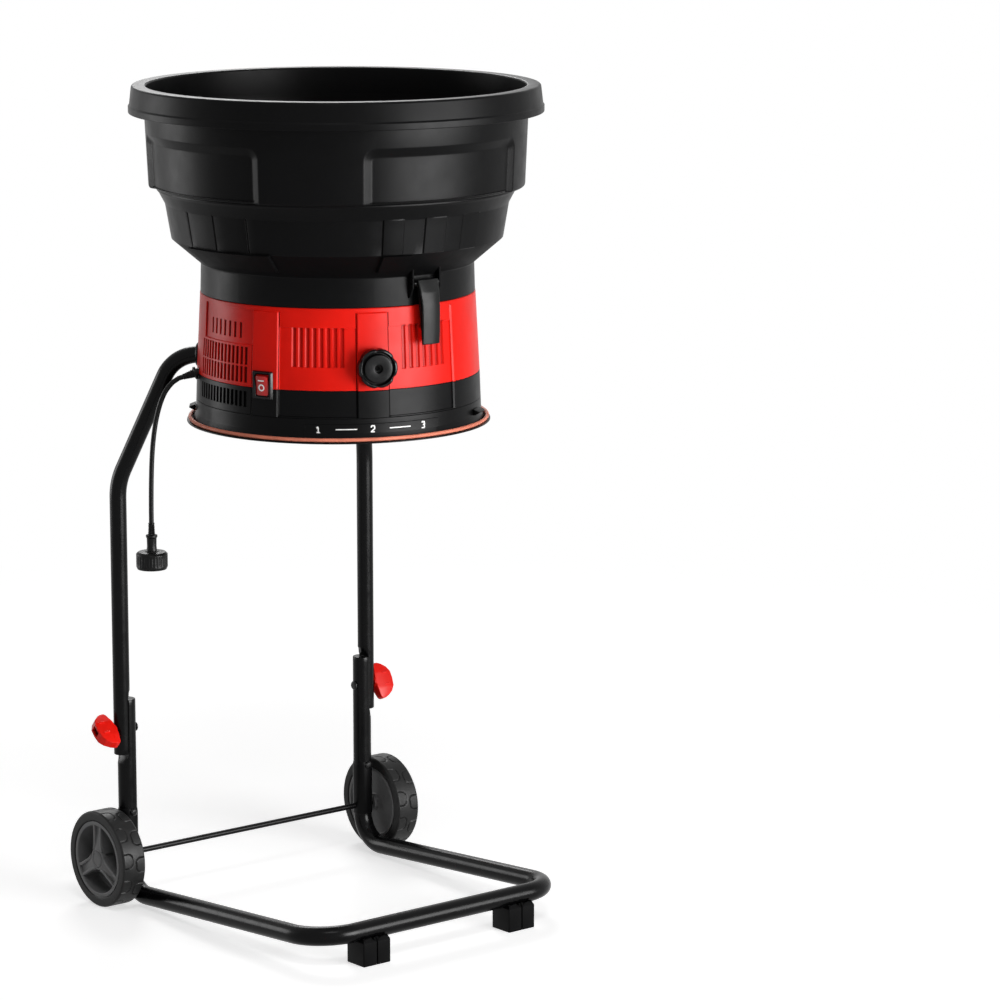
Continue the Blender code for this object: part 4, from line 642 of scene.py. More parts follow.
def plugSleeve():
    # a ribbed shank that widens to the neck, then a ring and the neck itself
    top = plugLook["top"]
    count = 4 * plugLook["ribs"] + 1
    t = np.linspace(0, 1, count)
    wave = 0.5 - 0.5 * np.cos(2 * math.pi * plugLook["ribs"] * t)
    reach = 0.0047 + 0.0006 * t - plugLook["ribDepth"] * wave
    shank = np.column_stack([reach, top - 0.0012 - 0.0150 * t])
    head = filleted([(0.0040, top), (0.0047, top), shank[0]], 0.0004)
    foot = filleted(
        [
            (0.0056, 0.5822), (0.0084, 0.5812), (0.0085, 0.5785), (0.0072, 0.5765),
            (0.0070, 0.5650), (0.0076, 0.5583),
        ],
        0.0006,
    )
    profile = np.concatenate([[(0.0, top)], head[:-1], shank, foot, [(0.0, 0.5583)]])
    return revolved(profile, 40)


def plugCap():
    # a round cap, hollow below, with a chamfered foot, grip flutes and a top step
    radius, top, foot = plugLook["capRadius"], plugLook["capTop"], plugLook["capFoot"]
    profile = filleted(
        [
            (0.0, top), (0.0098, top), (0.0102, top - 0.0012), (radius - 0.0030, top - 0.0016),
            (radius, top - 0.0045), (radius, foot + 0.0040), (radius - 0.0016, foot),
            (radius - 0.0032, foot), (radius - 0.0034, plugLook["face"]), (0.0, plugLook["face"]),
        ],
        [0, 0.0006, 0.0005, 0.0012, 0.0016, 0.0008, 0.0005, 0.0005, 0.0008, 0],
    )
    profile = divided(profile, np.linspace(foot + 0.005, top - 0.006, 9), 0.010)

    def flutes(a, r, z):
        # shallow flutes on the side only, faded at the side's ends
        side = np.clip((z - foot - 0.005) / 0.002, 0, 1) * np.clip((top - 0.006 - z) / 0.002, 0, 1)
        side = side * (r > radius - 0.0004)
        return -0.0006 * side * (0.5 - 0.5 * np.cos(np.radians(a) * 30)) ** 2, 0 * a

    return revolved(profile, 240, relief=flutes)


def plugProngs():
    # two flat blades and a round pin
    foot, top, half, deep = 0.5337, 0.5457, 0.00075, 0.00315
    prongs = []
    for x in (-0.00635, 0.00635):
        outline = rectangle((x - half, -deep), (x + half, deep), 0.0003)
        prongs.append(slab(outline, [(foot, 0.0005), (foot + 0.0008, 0), (top, 0)]))
    pin = [(0, foot), (0.0012, foot), (0.0024, foot + 0.0012), (0.0024, top), (0, top)]
    prongs.append(revolved(pin, 24).moved(Matrix.Translation((0, 0.010, 0))))
    return prongs


plugPieces = [
    makePiece("plugShank", plugSleeve().moved(atPlug), "machine", "cord_black", "plug_sleeve"),
    makePiece("plugHousing", plugCap().moved(atPlug), "machine", "cord_black", "plug_cap"),
]
for node, shape in zip(("prong_left", "prong_right", "prong_ground"), plugProngs()):
    plugPieces.append(makePiece("pin_" + node, shape.moved(atPlug), "machine", "brass", node))


# cord gland
glandLook = {"droop": 16.0, "radius": 0.2060, "z": 0.8189, "length": 0.0230, "ribs": 5}


def glandAxis():
    droop = math.radians(glandLook["droop"])
    return radial(cordLook["azimuth"]) * math.cos(droop) - Vector((0, 0, math.sin(droop)))


def glandShape():
    # a clamp nut, then a sleeve of rings that taper towards the cord
    length = glandLook["length"]
    nut = [
        (0.0, -0.0080), (0.0060, -0.0080), (0.0060, 0.0030), (0.0095, 0.0030), (0.0095, 0.0062),
        (0.0080, 0.0068),
    ]
    t = np.linspace(0, 1, 8 * glandLook["ribs"] + 1)
    wave = 0.5 + 0.5 * np.cos(2 * math.pi * glandLook["ribs"] * t)
    reach = 0.0066 - 0.0022 * t + 0.0007 * (wave - 1) * (1 - 0.4 * t)
    rings = np.column_stack([reach, 0.0072 + (length - 0.0084) * t])
    nut = filleted(nut, [0, 0.0003, 0, 0.0006, 0.0008, 0.0004])
    return revolved(np.concatenate([nut, rings, [(0.0043, length), (0.0, length)]]), 40)


glandPlace = spot(cordLook["azimuth"], glandLook["radius"], glandLook["z"])
gland = glandShape().moved(facing(glandPlace, glandAxis()))
makePiece("strainRelief", gland, "machine", "cord_black", "cord_gland")


# hopper bowl
print("stage: hopper")

bowlLook = {
    "foot": 1.0893,
    "rimFoot": 1.1936,
    "rimTop": 1.2326,
    "wall": 0.0030,
    "innerFoot": 0.2691,
    "innerTop": 0.2740,
    "hole": 0.2480,
    "panelCentres": (0.0, 90.0, 180.0, 270.0),
    "panelHalf": 29.4,
    "panelTop": 1.1660,
    "panelCorner": 0.018,
    "panelSlope": 0.0125,
    "panelDepth": 0.0062,
}


def ramp(distance, width):
    # 0 on one side of an edge and 1 on the other, straight between them
    return np.clip(distance / width + 0.5, 0.0, 1.0)


def offCentre(azimuths, centre):
    return (azimuths - centre + 180.0) % 360.0 - 180.0


def panelDistance(sideways, z, half, top, corner):
    # distance to the edge of a panel with two rounded top corners, negative inside it
    x = np.abs(sideways) - (half - corner)
    y = z - (top - corner)
    outside = np.hypot(np.maximum(x, 0), np.maximum(y, 0))
    return outside + np.minimum(np.maximum(x, y), 0) - corner


def bowlRelief(a, r, z):
    # the wall sinks along a straight slope as it goes in over the edge of a panel
    b = bowlLook
    push = 0 * a
    for centre in b["panelCentres"]:
        off = np.radians(offCentre(a, centre)) * b["innerTop"]
        half = math.radians(b["panelHalf"]) * b["innerTop"]
        distance = -panelDistance(off, z, half, b["panelTop"], b["panelCorner"])
        push = push - b["panelDepth"] * np.clip(distance / b["panelSlope"], 0, 1)
    onWall = (z > b["foot"] - 0.0031) & (z < b["rimFoot"] - 0.0005) & (r > 0.2685)
    return push * onWall, 0 * a


def bowlProfile():
    b = bowlLook
    top, rimFoot, foot, wall = b["rimTop"], b["rimFoot"], b["foot"], b["wall"]
    corners = [
        (b["hole"], foot), (b["innerFoot"], foot), (b["innerTop"], rimFoot), (b["innerTop"], top),
        (0.2950, top), (0.2982, rimFoot + 0.0115), (0.3000, rimFoot + 0.0092), (0.3000, rimFoot),
        (0.2970, rimFoot), (0.2962, rimFoot + 0.0090), (0.2924, top - wall), (0.2772, top - wall),
        (b["innerTop"] + wall, rimFoot), (b["innerFoot"] + wall, foot - wall),
        (b["hole"], foot - wall),
    ]
    radii = [
        0.0008, 0.004, 0.02, 0.003, 0.0035, 0.0012, 0.0008, 0.0010,
        0.0008, 0.0015, 0.003, 0.003, 0.01, 0.0035, 0.0008,
    ]
    profile = filleted(corners, radii, closed=True, stepAngle=12)
    atTop = np.linspace(b["panelTop"] - 0.024, b["panelTop"] + 0.001, 18)
    levels = np.concatenate([atTop, np.linspace(1.096, 1.136, 6)])
    # first the inner face of the wall, then the outer one
    for _ in range(2):
        profile = divided(profile, levels, 0.05)
    return profile


def bowlAzimuths():
    lines = [np.arange(0, 360, 2.5)]
    for centre in bowlLook["panelCentres"]:
        for side in (-1, 1):
            edge = centre + side * bowlLook["panelHalf"]
            lines.append(edge - side * np.linspace(-0.2, 5.2, 19))
    return np.unique(np.round(np.concatenate(lines) % 360, 4))


bowl = revolved(bowlProfile(), azimuths=bowlAzimuths(), relief=bowlRelief)
makePiece("hopperBowl", bowl, "hopper", "hopper_black", "hopper_bowl", sharp=28)


# hopper collar
collarLook = {
    # each: its low and high end with the slope there, and the least radius of its face
    "band": ((1.0128, 0.0008), (1.0628, 0.0008), 0.2392),
    "cone": ((0.9850, 0.0012), (1.0118, 0.0010), 0.2040),
    "bandRadius": 0.245,
    "grooves": (-95.9, -82.1, -68.2, -22.2, -7.3),
    "plates": ((-22.2, -15.0), (-7.3, 1.0), (8.2, 16.5)),
    "grooveWidth": 0.0014,
    "grooveDepth": 0.0020,
    "plateRise": 0.0009,
    "blocks": ((-97.0, -60.5), (-22.2, -11.5)),
    "blockRise": 0.0075,
    "halfTurns": (0.0, 180.0),
}


def collarRelief(a, r, z):
    # grooves and raised plates on the band, and blocks on the cone below
    c = collarLook

    def zone(part):
        (low, lowSlope), (high, highSlope), reach = c[part]
        return ramp(z - low, lowSlope) * ramp(high - z, highSlope) * (r > reach)

    onBand, onCone = zone("band"), zone("cone")
    push, hollow = 0 * a, 0 * a
    for turn in c["halfTurns"]:
        for at in c["grooves"]:
            arc = np.abs(np.radians(offCentre(a, at + turn))) * c["bandRadius"]
            cut = np.clip(1.3 - arc / c["grooveWidth"], 0, 1)
            push = push - c["grooveDepth"] * cut * onBand
            # painted shade inside each groove
            hollow = hollow + cut * onBand
        for start, end in c["plates"]:
            on = ramp(offCentre(a, start + turn), 0.2) * ramp(-offCentre(a, end + turn), 0.2)
            push = push + c["plateRise"] * on * onBand
        for start, end in c["blocks"]:
            on = ramp(offCentre(a, start + turn), 0.3) * ramp(-offCentre(a, end + turn), 0.3)
            push = push + c["blockRise"] * on * onCone
    return push, np.clip(hollow, 0, 1) * 0.8


def collarProfile():
    corners = [
        (0.2466, 1.0860), (0.2610, 1.0860), (0.2610, 1.0832), (0.2582, 1.0800), (0.2497, 1.0640),
        (0.2489, 1.0622), (0.2405, 1.0123), (0.1983, 0.9761), (0.1995, 0.9339), (0.1965, 0.9339),
        (0.1953, 0.9772), (0.2375, 1.0135), (0.2462, 1.0648), (0.2552, 1.0822), (0.2466, 1.0826),
    ]
    radii = [
        0.0006, 0.0008, 0.0010, 0.0030, 0.0010, 0.0006, 0.0016, 0.0030,
        0.0008, 0.0008, 0.003, 0.003, 0.003, 0.001, 0.0006,
    ]
    profile = filleted(corners, radii, closed=True, stepAngle=14)
    bandLevels = (1.0124, 1.0132, 1.030, 1.047, 1.0624, 1.0632)
    coneLevels = (0.9790, 0.9844, 0.9856, 0.992, 1.0, 1.0024, 1.0036, 1.006, 1.0113, 1.0123)
    for levels in (bandLevels, coneLevels):
        profile = divided(profile, levels, 0.025)
    return profile


def collarAzimuths():
    c = collarLook
    lines = [np.arange(0, 360, 2.5)]
    for turn in c["halfTurns"]:
        half = math.degrees(c["grooveWidth"] / c["bandRadius"])
        for at in c["grooves"]:
            lines.append(at + turn + half * np.array([-1.0, -0.5, 0, 0.5, 1.0]))
        for start, end in (*c["plates"], *c["blocks"]):
            lines.append(turn + np.array([start - 0.15, start + 0.15, end - 0.15, end + 0.15]))
    return np.unique(np.round(np.concatenate(lines) % 360, 3))


# the latches' settings stand here because the collar has their ears
latchLook = {
    "azimuths": {"front": 0.0, "rear": 180.0},
    "pinRadius": 0.0018,
    "pinR": 0.2050,
    "pinZ": 0.9655,
    "half": 0.0160,
    "drop": 0.0866,
    "reach": 0.0160,
    "thickness": 0.0045,
    "knuckle": 0.0040,
    "crown": 0.0024,
    "crownStart": 0.0180,
    "earInner": 0.0226,
    "earThickness": 0.0030,
    "edge": 0.0013,
}


def collarEars():
    # thin plates that come down out of the cone, and end in a slanted foot
    corners = [
        (0.1975, 0.9440), (0.1975, 1.0035), (0.2085, 1.0035), (0.2085, 0.9590), (0.2010, 0.9455),
    ]
    outline = filleted(corners, [0, 0, 0.0004, 0.0006, 0.0006], True)
    inner, thick = latchLook["earInner"], latchLook["earThickness"]
    return joined(
        roundedSlab(outline, low, low + thick, 0.0009).moved(standing(azimuth))
        for azimuth in latchLook["azimuths"].values()
        for low in (-inner - thick, inner)
    )


def coneFace(middles):
    # 1 on the outer face of the cone, which is moulded with a deep matt grain
    reach, z = polar(middles)[1], middles[:, 2]
    return (z > 0.9775) & (z < 1.0122) & (reach > 0.1975 + (z - 0.9761) * 1.1)


collar = revolved(collarProfile(), azimuths=collarAzimuths(), relief=collarRelief)
makePiece(
    "hopperCollar", collar + collarEars(), "hopper", "hopper_black", "hopper_collar",
    sharp=24, second=("coneBlack", coneFace),
)


def latchLever():
    # a bowed bar whose width tapers downwards and whose faces meet its sides in a bevel
    l = latchLook
    outer, inner = l["reach"], l["reach"] - l["thickness"]
    k, drop, half = l["knuckle"], l["drop"], l["half"]
    corners = [
        (0.0034, 0.0052), (1.6 * k, 0.0055), (outer - 0.75 * k, -0.15 * drop),
        (outer + 0.1 * k, -0.36 * drop), (outer + 0.15 * k, -0.64 * drop), (outer, -drop),
        (inner, -drop), (inner, -0.74 * drop), (inner + 0.1 * k, -0.36 * drop),
        (inner - 0.75 * k, -0.15 * drop), (0.0026, -0.0018),
    ]
    radii = [0.0006, 0.0012, 0.020, 0.060, 0.080, 0.0016, 0.0008, 0.060, 0.030, 0.014, 0.0006]
    bar = filleted(corners, radii, True, stepAngle=3)
    edge = l["edge"]
    levels = [(-half, 0.9 * edge), (-half + 0.3 * edge, 0.4 * edge), (-half + edge, 0.0)]
    levels = levels + [(x * half, 0.0) for x in (-0.8, -0.65, -0.5, -0.35, -0.2, 0.0)]
    plate = slab(bar, levels + [(-x, amount) for x, amount in levels[-2::-1]])
    # the outer face is crowned: it falls by the square of the distance from its middle line,
    # and the crown grows along the first part of the lever by a smooth step
    onOuter = np.repeat(np.arange(len(bar)) <= bar[:, 1].argmin(), len(plate.points) // len(bar))
    grown = np.clip(-plate.points[:, 1] / l["crownStart"], 0, 1)
    share = onOuter * grown**2 * (3 - 2 * grown)
    plate.points[:, 0] -= l["crown"] * share * (plate.points[:, 2] / half) ** 2

    def taper(points):
        # half the width is 18 mm at the pin and 15.4 mm at the foot
        heights, halves = [-drop, -0.36 * drop, 0.005], [0.0154, 0.0159, 0.0180]
        wide = np.interp(points[:, 1], heights, halves) / half
        return points * np.column_stack([np.ones(len(points)), np.ones(len(points)), wide])

    reach = l["earInner"] - 0.0004
    barrel = revolved(rectangle((0.0021, -reach), (k, reach), 0.0005), 32)
    # the barrel between the ears is painted in full shade
    barrel.hollow[:] = 1
    return plate.bent(taper) + barrel


for side, azimuth in latchLook["azimuths"].items():
    pivot = spot(azimuth, latchLook["pinR"], latchLook["pinZ"])
    place = Matrix.Translation(pivot) @ standing(azimuth)
    makePiece(
        "latchLever_" + side, latchLever().moved(place), "latch_" + side, "hopper_black",
        "latch_lever_" + side, look="leverBlack", sharp=26,
    )
    reach, radius = latchLook["earInner"] + latchLook["earThickness"], latchLook["pinRadius"]
    pin = turned([(0, -reach), (radius, -reach), (radius, reach), (0, reach)], 0.0003, 24)
    makePiece(
        "latchPin_" + side, pin.moved(place), "hopper", "steel",
        "latch_pin_" + side, look="boltBlack",
    )


# housing
print("stage: housing")

# the knob's settings stand here because the housing has its boss
knobLook = {
    "azimuth": -22.6,
    "z": 0.8505,
    "seat": 0.2083,
    "radius": 0.0284,
    "length": 0.0190,
    "ringIn": 0.0236,
    "ringDrop": 0.0016,
    "disc": 0.0204,
    "groove": 0.0064,
    "recess": 0.0058,
    "lobes": 6,
    "lobeDepth": 0.0016,
    "notchDrop": 0.0022,
}

housingLook = {
    "radius": 0.205,
    "foot": 0.7787,
    "top": 0.9280,
    "columns": ((-73.7, -62.0), (-29.6, -17.0), (106.3, 118.0), (150.4, 163.0)),
    "columnRise": 0.0018,
    "columnBevel": 0.0018,
    "columnTop": 0.9270,
    "sunk": ((-61.4, -29.6), (-17.0, 15.0), (118.6, 150.4), (163.0, 195.0)),
    "sunkDepth": 0.0018,
    "sunkTop": 0.9060,
    "sunkFoot": 0.7798,
    "ridges": ((15.0, 16.4), (195.0, 196.4)),
    "ridgeRise": 0.0016,
    "ridgeSlope": (0.80, 0.14),
    "ventPanels": ((-107.4, -73.7), (72.6, 106.3)),
    "ventPanel": (0.8765, 0.9270, 0.0022),
    "columnGroove": (0.0013, 0.0006, 0.0009),
    "slots": ((-55.3, -35.7, 8, 0.850, 0.906), (-9.8, 9.9, 7, 0.845, 0.9075)),
    "slotCut": (0.0050, 0.0021, 0.28),
    "shortVents": (-100.7, -81.0, 7, 0.8850, 0.9070),
    "shortCut": (0.0042, 0.0018, 0.12),
    "vents": (-108.6, -77.2, 14),
    "ventRows": {"red": ((0.8478, 0.8730), (0.8225, 0.8452)), "black": ((0.7880, 0.8100),)},
    "ventCut": (0.0050, 0.0026, 0.10),
    "bevel": 0.0006,
}


def wallDegrees(length):
    return np.degrees(length / housingLook["radius"])


def housingSlots(tone):
    # every slot as (start, end, low, high, depth, slope), in degrees and metres
    h = housingLook
    rows = []
    if tone == "red":
        rows = [(*row, *h["slotCut"]) for row in h["slots"]]
        rows.append((*h["shortVents"], *h["shortCut"]))
    rows += [(*h["vents"], low, high, *h["ventCut"]) for low, high in h["ventRows"][tone]]
    found = []
    for turn in (0.0, 180.0):
        for start, end, count, low, high, width, depth, slope in rows:
            half = wallDegrees(width / 2)
            for middle in np.linspace(start, end, count):
                found.append((middle - half + turn, middle + half + turn, low, high, depth, slope))
    return found


def housingRelief(tone):
    h = housingLook
    soft = h["bevel"]

    def patch(a, z, start, end, low, high, slope):
        middle, half = (start + end) / 2, (end - start) / 2
        sideways = ramp(half - np.abs(offCentre(a, middle)), slope)
        return sideways * ramp(z - low, soft) * ramp(high - z, soft)

    def relief(a, r, z):
        push, hollow = 0 * a, 0 * a
        bevel = h["columnBevel"]
        outside, half, deep = h["columnGroove"]
        for start, end in h["columns"]:
            # its sides slope, and so does its top
            away = np.abs(offCentre(a, (start + end) / 2))
            sides = ramp((end - start) / 2 - away, wallDegrees(bevel))
            push += h["columnRise"] * sides * ramp(h["columnTop"] - z, bevel)
            for edge, side in ((start, -1), (end, 1)):
                # a narrow groove runs down beside each side, with painted shade along it
                arc = np.abs(np.radians(offCentre(a, edge)) * h["radius"] * side - outside)
                line = np.clip(1.5 - arc / half, 0, 1)
                line = line * ramp(h["columnTop"] - z, soft) * ramp(z - h["foot"], soft)
                push -= deep * line
                hollow += line
        for start, end in h["sunk"]:
            field = patch(a, z, start, end, h["sunkFoot"], h["sunkTop"], wallDegrees(soft))
            push -= h["sunkDepth"] * field
        gentle, steep = h["ridgeSlope"]
        for start, end in h["ridges"]:
            # a long slope on the left, a short one on the right
            climb = np.clip(offCentre(a, start) / gentle, 0, 1)
            climb = climb * np.clip(-offCentre(a, end) / steep, 0, 1)
            push += h["ridgeRise"] * climb * ramp(z - h["foot"], soft) * ramp(h["top"] - z, soft)
        low, high, depth = h["ventPanel"]
        for start, end in h["ventPanels"]:
            push -= depth * patch(a, z, start, end, low, high, wallDegrees(soft))
            # painted shade where the panel's upright walls meet its floor
            corner = np.clip(1.6 - offCentre(a, start + 0.5) ** 2 / 0.16, 0, 1)
            corner = corner + np.clip(1.6 - offCentre(a, end - 0.2) ** 2 / 0.03, 0, 1)
            hollow += 0.75 * corner * ramp(z - low, 0.001) * ramp(high - z, 0.001)
        for start, end, low, high, depth, slope in housingSlots(tone):
            cut = patch(a, z, start, end, low, high, 2 * slope)
            push -= depth * cut
            # painted shade inside the slots: those with the gentle slope get less of it than the
            # others
            hollow += np.clip(cut * 1.6 - 0.6, 0, 1) * (0.45 if slope > 0.2 else 1.0)
        # only on the outer face, whose radius grows by 0.0514 of the way down
        shell = r > 0.2 - (z - 0.9336) * 0.0514 - 0.0006
        return push * shell, np.clip(hollow, 0, 1) * shell

    return relief


def housingAzimuths(tone):
    h = housingLook
    half = wallDegrees(h["bevel"]) / 2
    pairs = [*h["columns"], *h["sunk"], *h["ridges"], *h["ventPanels"]]
    lines = [np.arange(0, 360, 2.0)]
    lines += [edge + np.array([-half, half]) for pair in pairs for edge in pair]
    steps = wallDegrees(h["columnBevel"]) * np.array([-0.5, 0.5])
    lines += [edge + steps for pair in h["columns"] for edge in pair]
    outside, half, _ = h["columnGroove"]
    steps = wallDegrees(outside + half * np.array([-1.5, -0.5, 0.5, 1.5]))
    for start, end in h["columns"]:
        lines += [start - steps, end + steps]
    gentle, steep = h["ridgeSlope"]
    for start, end in h["ridges"]:
        lines.append(np.array([start, start + gentle, end - steep, end]))
    for start, end in h["ventPanels"]:
        lines += [start + np.array([0.15, 0.85, 1.05]), end - np.array([0.42, 0.2, 0.05])]
    for start, end, _, _, _, slope in housingSlots(tone):
        lines.append(np.array([start - slope, start + slope, end - slope, end + slope]))
    found = np.unique(np.round(np.concatenate(lines) % 360, 3))
    return found[np.concatenate([[True], np.diff(found) > 0.02])]


def housingLevels(tone):
    h = housingLook
    edges = {h["columnTop"], h["sunkTop"], h["sunkFoot"], h["ventPanel"][0], h["foot"], h["top"]}
    for _, _, low, high, _, _ in housingSlots(tone):
        edges |= {low, high}
    half, top = h["bevel"] / 2, h["columnBevel"] / 2
    levels = [edge + step for edge in edges for step in (-half, half)]
    return sorted(levels + [h["columnTop"] - top, h["columnTop"] + top])


def catchPads():
    # a small shelf on the shell for each latch to press on
    outline = rectangle((0.2010, 0.8854), (0.2162, 0.9014), [0, 0.0012, 0.0012, 0])
    return joined(
        roundedSlab(outline, -0.011, 0.011, 0.0008).moved(standing(azimuth))
        for azimuth in latchLook["azimuths"].values()
    )


def knobBoss():
    corners = [
        (0, 0.1990), (0.0200, 0.1990), (0.0190, 0.2058), (0.0190, 0.2080), (0.0036, 0.2080),
        (0.0036, 0.2060), (0, 0.2060),
    ]
    boss = turned(corners, [0, 0, 0.002, 0.0006, 0, 0, 0], 64)
    return boss.moved(facing((0, 0, knobLook["z"]), radial(knobLook["azimuth"])))


def housingShell(tone, corners, radii, least):
    profile = divided(filleted(corners, radii, True), housingLevels(tone), least)
    return revolved(profile, azimuths=housingAzimuths(tone), relief=housingRelief(tone))


def upperHousing():
    corners = [
        (0.1948, 0.9516), (0.1948, 0.9338), (0.2000, 0.9336), (0.2060, 0.8171), (0.2016, 0.8171),
        (0.1956, 0.9306), (0.1920, 0.9306), (0.1920, 0.9516),
    ]
    radii = [0.0008, 0, 0.0016, 0.0005, 0.0005, 0.002, 0.001, 0.0008]
    return housingShell("red", corners, radii, 0.1)


def lowerHousing():
    corners = [
        (0.2060, 0.8166), (0.2075, 0.7777), (0.2025, 0.7777), (0.2025, 0.7640), (0.2001, 0.7640),
        (0.2001, 0.8263), (0.2025, 0.8263), (0.2025, 0.8166),
    ]
    radii = [0.0005, 0.0006, 0, 0.0005, 0.0005, 0.0005, 0.0005, 0]
    return housingShell("black", corners, radii, 0.03)


upper = upperHousing() + catchPads() + knobBoss()
makePiece("upperHousing", upper, "machine", "housing_red", "upper_housing", sharp=24)
makePiece("lowerHousing", lowerHousing(), "machine", "housing_black", "lower_housing", sharp=24)


# adjusting ring, its scale and the bag band
ringLook = {
    "plate": (-50.5, 5.5, 0.7552, 0.7700, 0.0007),
    "marks": ((-45.2, "1"), (-23.8, "2"), (-2.2, "3")),
    "dashes": ((-38.4, -30.0), (-17.0, -8.0)),
    "markHeight": 0.0085,
    "markZ": 0.7584,
    "stroke": 0.0018,
}


def ringRelief(a, r, z):
    start, end, low, high, rise = ringLook["plate"]
    middle, half = (start + end) / 2, (end - start) / 2
    on = ramp(half - np.abs(offCentre(a, middle)), 0.2)
    on = on * ramp(z - low, 0.0007) * ramp(high - z, 0.0007)
    return rise * on * (r > 0.2065), 0 * a


def ringRadius(z):
    # outer face of the ring, which spreads a little downwards
    return np.interp(z, [0.7470, 0.7520, 0.7570, 0.7774], [0.2123, 0.2103, 0.2083, 0.2075])


def adjustingRing():
    corners = [
        (0.2075, 0.7774), (0.2083, 0.7570), (0.2103, 0.7520), (0.2123, 0.7472), (0.2214, 0.7454),
        (0.2216, 0.7436), (0.2103, 0.7442), (0.2038, 0.7520), (0.2038, 0.7774),
    ]
    radii = [0.0006, 0.003, 0.002, 0.0015, 0.0006, 0.0005, 0.002, 0.002, 0.0005]
    start, end, _, high, _ = ringLook["plate"]
    half = 0.00035
    profile = divided(filleted(corners, radii, True), [high - half, high + half], 0.015)
    edges = [start - 0.1, start + 0.1, end - 0.1, end + 0.1]
    azimuths = np.unique(np.round(np.concatenate([np.arange(0, 360, 2.0), edges]) % 360, 3))
    return revolved(profile, azimuths=azimuths, relief=ringRelief)


makePiece("adjustingRing", adjustingRing(), "bag_ring", "housing_black", "adjusting_ring", sharp=26)


def stroke(points, width, height, rounds=0.0):
    # a flat line of ink: a low, wide section carried along a route in the plane
    path = filleted(points, rounds)
    path = np.column_stack([path, np.zeros(len(path))])
    half = width / 2
    section = np.array([(-half, 0.0), (half, 0.0), (half, height), (-half, height)])
    return swept(path, section, lean=(0, 0, 1))


def scaleMarks():
    # plain numbers with dashes between them, wrapped round the ring; the digits are routes
    # in shares of half their width and of their height
    tall, wide, foot = ringLook["markHeight"], ringLook["stroke"], ringLook["markZ"]
    half = tall * 0.28
    digits = {
        "1": [((-1, 0.72), (0, 1), (0, 0)), ((-1, 0), (1, 0))],
        "2": [((-1, 0.72), (-1, 1), (1, 1), (1, 0.52), (-1, 0.06), (-1, 0), (1.1, 0))],
        "3": [
            ((-1, 1), (1, 1), (1, 0.54), (-0.2, 0.54)),
            ((-0.2, 0.50), (1, 0.50), (1, 0), (-1, 0)),
        ],
    }

    def faceAt(z):
        # a hair above the raised plate
        return ringRadius(z) + 0.00074

    marks = []
    for azimuth, digit in ringLook["marks"]:
        for route in digits[digit]:
            line = [(x * half, y * tall + foot) for x, y in route]
            marks.append(wrapped(stroke(line, wide, 0.00012, 0.0012), azimuth, faceAt))
    for start, end in ringLook["dashes"]:
        reach = math.radians(end - start) * 0.2085 / 2
        route = np.column_stack([np.linspace(-reach, reach, 24), np.full(24, foot + tall / 2)])
        marks.append(wrapped(stroke(route, wide * 0.8, 0.00012), (start + end) / 2, faceAt))
    return joined(marks)


makePiece("depthScale", scaleMarks(), "bag_ring", "housing_black", look="markWhite")


bandLook = {"radius": 0.2168, "z": 0.74888, "thick": 0.00275, "flat": 0.0026}


def bagBand():
    # an elastic cord lying round the lip, a little flattened where it rests
    b = bandLook
    section = circle(b["thick"], 16) + np.array([b["radius"], b["z"]])
    section[:, 1] = np.maximum(section[:, 1], b["z"] - b["flat"])
    return revolved(section, 180)


makePiece("bagBand", bagBand(), "bag_ring", "band_salmon", "bag_band")


# bag hooks
hookLook = {
    "azimuths": {"left": -127.0, "right": 35.0},
    "half": 0.0140,
    "back": 0.2086,
    "foot": 0.7590,
}
for hand, azimuth in hookLook["azimuths"].items():
    back, foot = hookLook["back"], hookLook["foot"]
    wedge = [
        (back, foot), (back + 0.0030, foot + 0.0006), (back + 0.0092, foot + 0.0040),
        (back + 0.0092, foot + 0.0054), (back, foot + 0.0090),
    ]
    outline = filleted(wedge, [0.0003, 0.0010, 0.0006, 0.0010, 0.0003], True)
    half = hookLook["half"]
    shape = roundedSlab(outline, -half, half, 0.0007).moved(standing(azimuth))
    makePiece("bagHook_" + hand, shape, "bag_ring", "housing_black", "bag_hook_" + hand)


# depth knob and its stud
print("stage: controls")


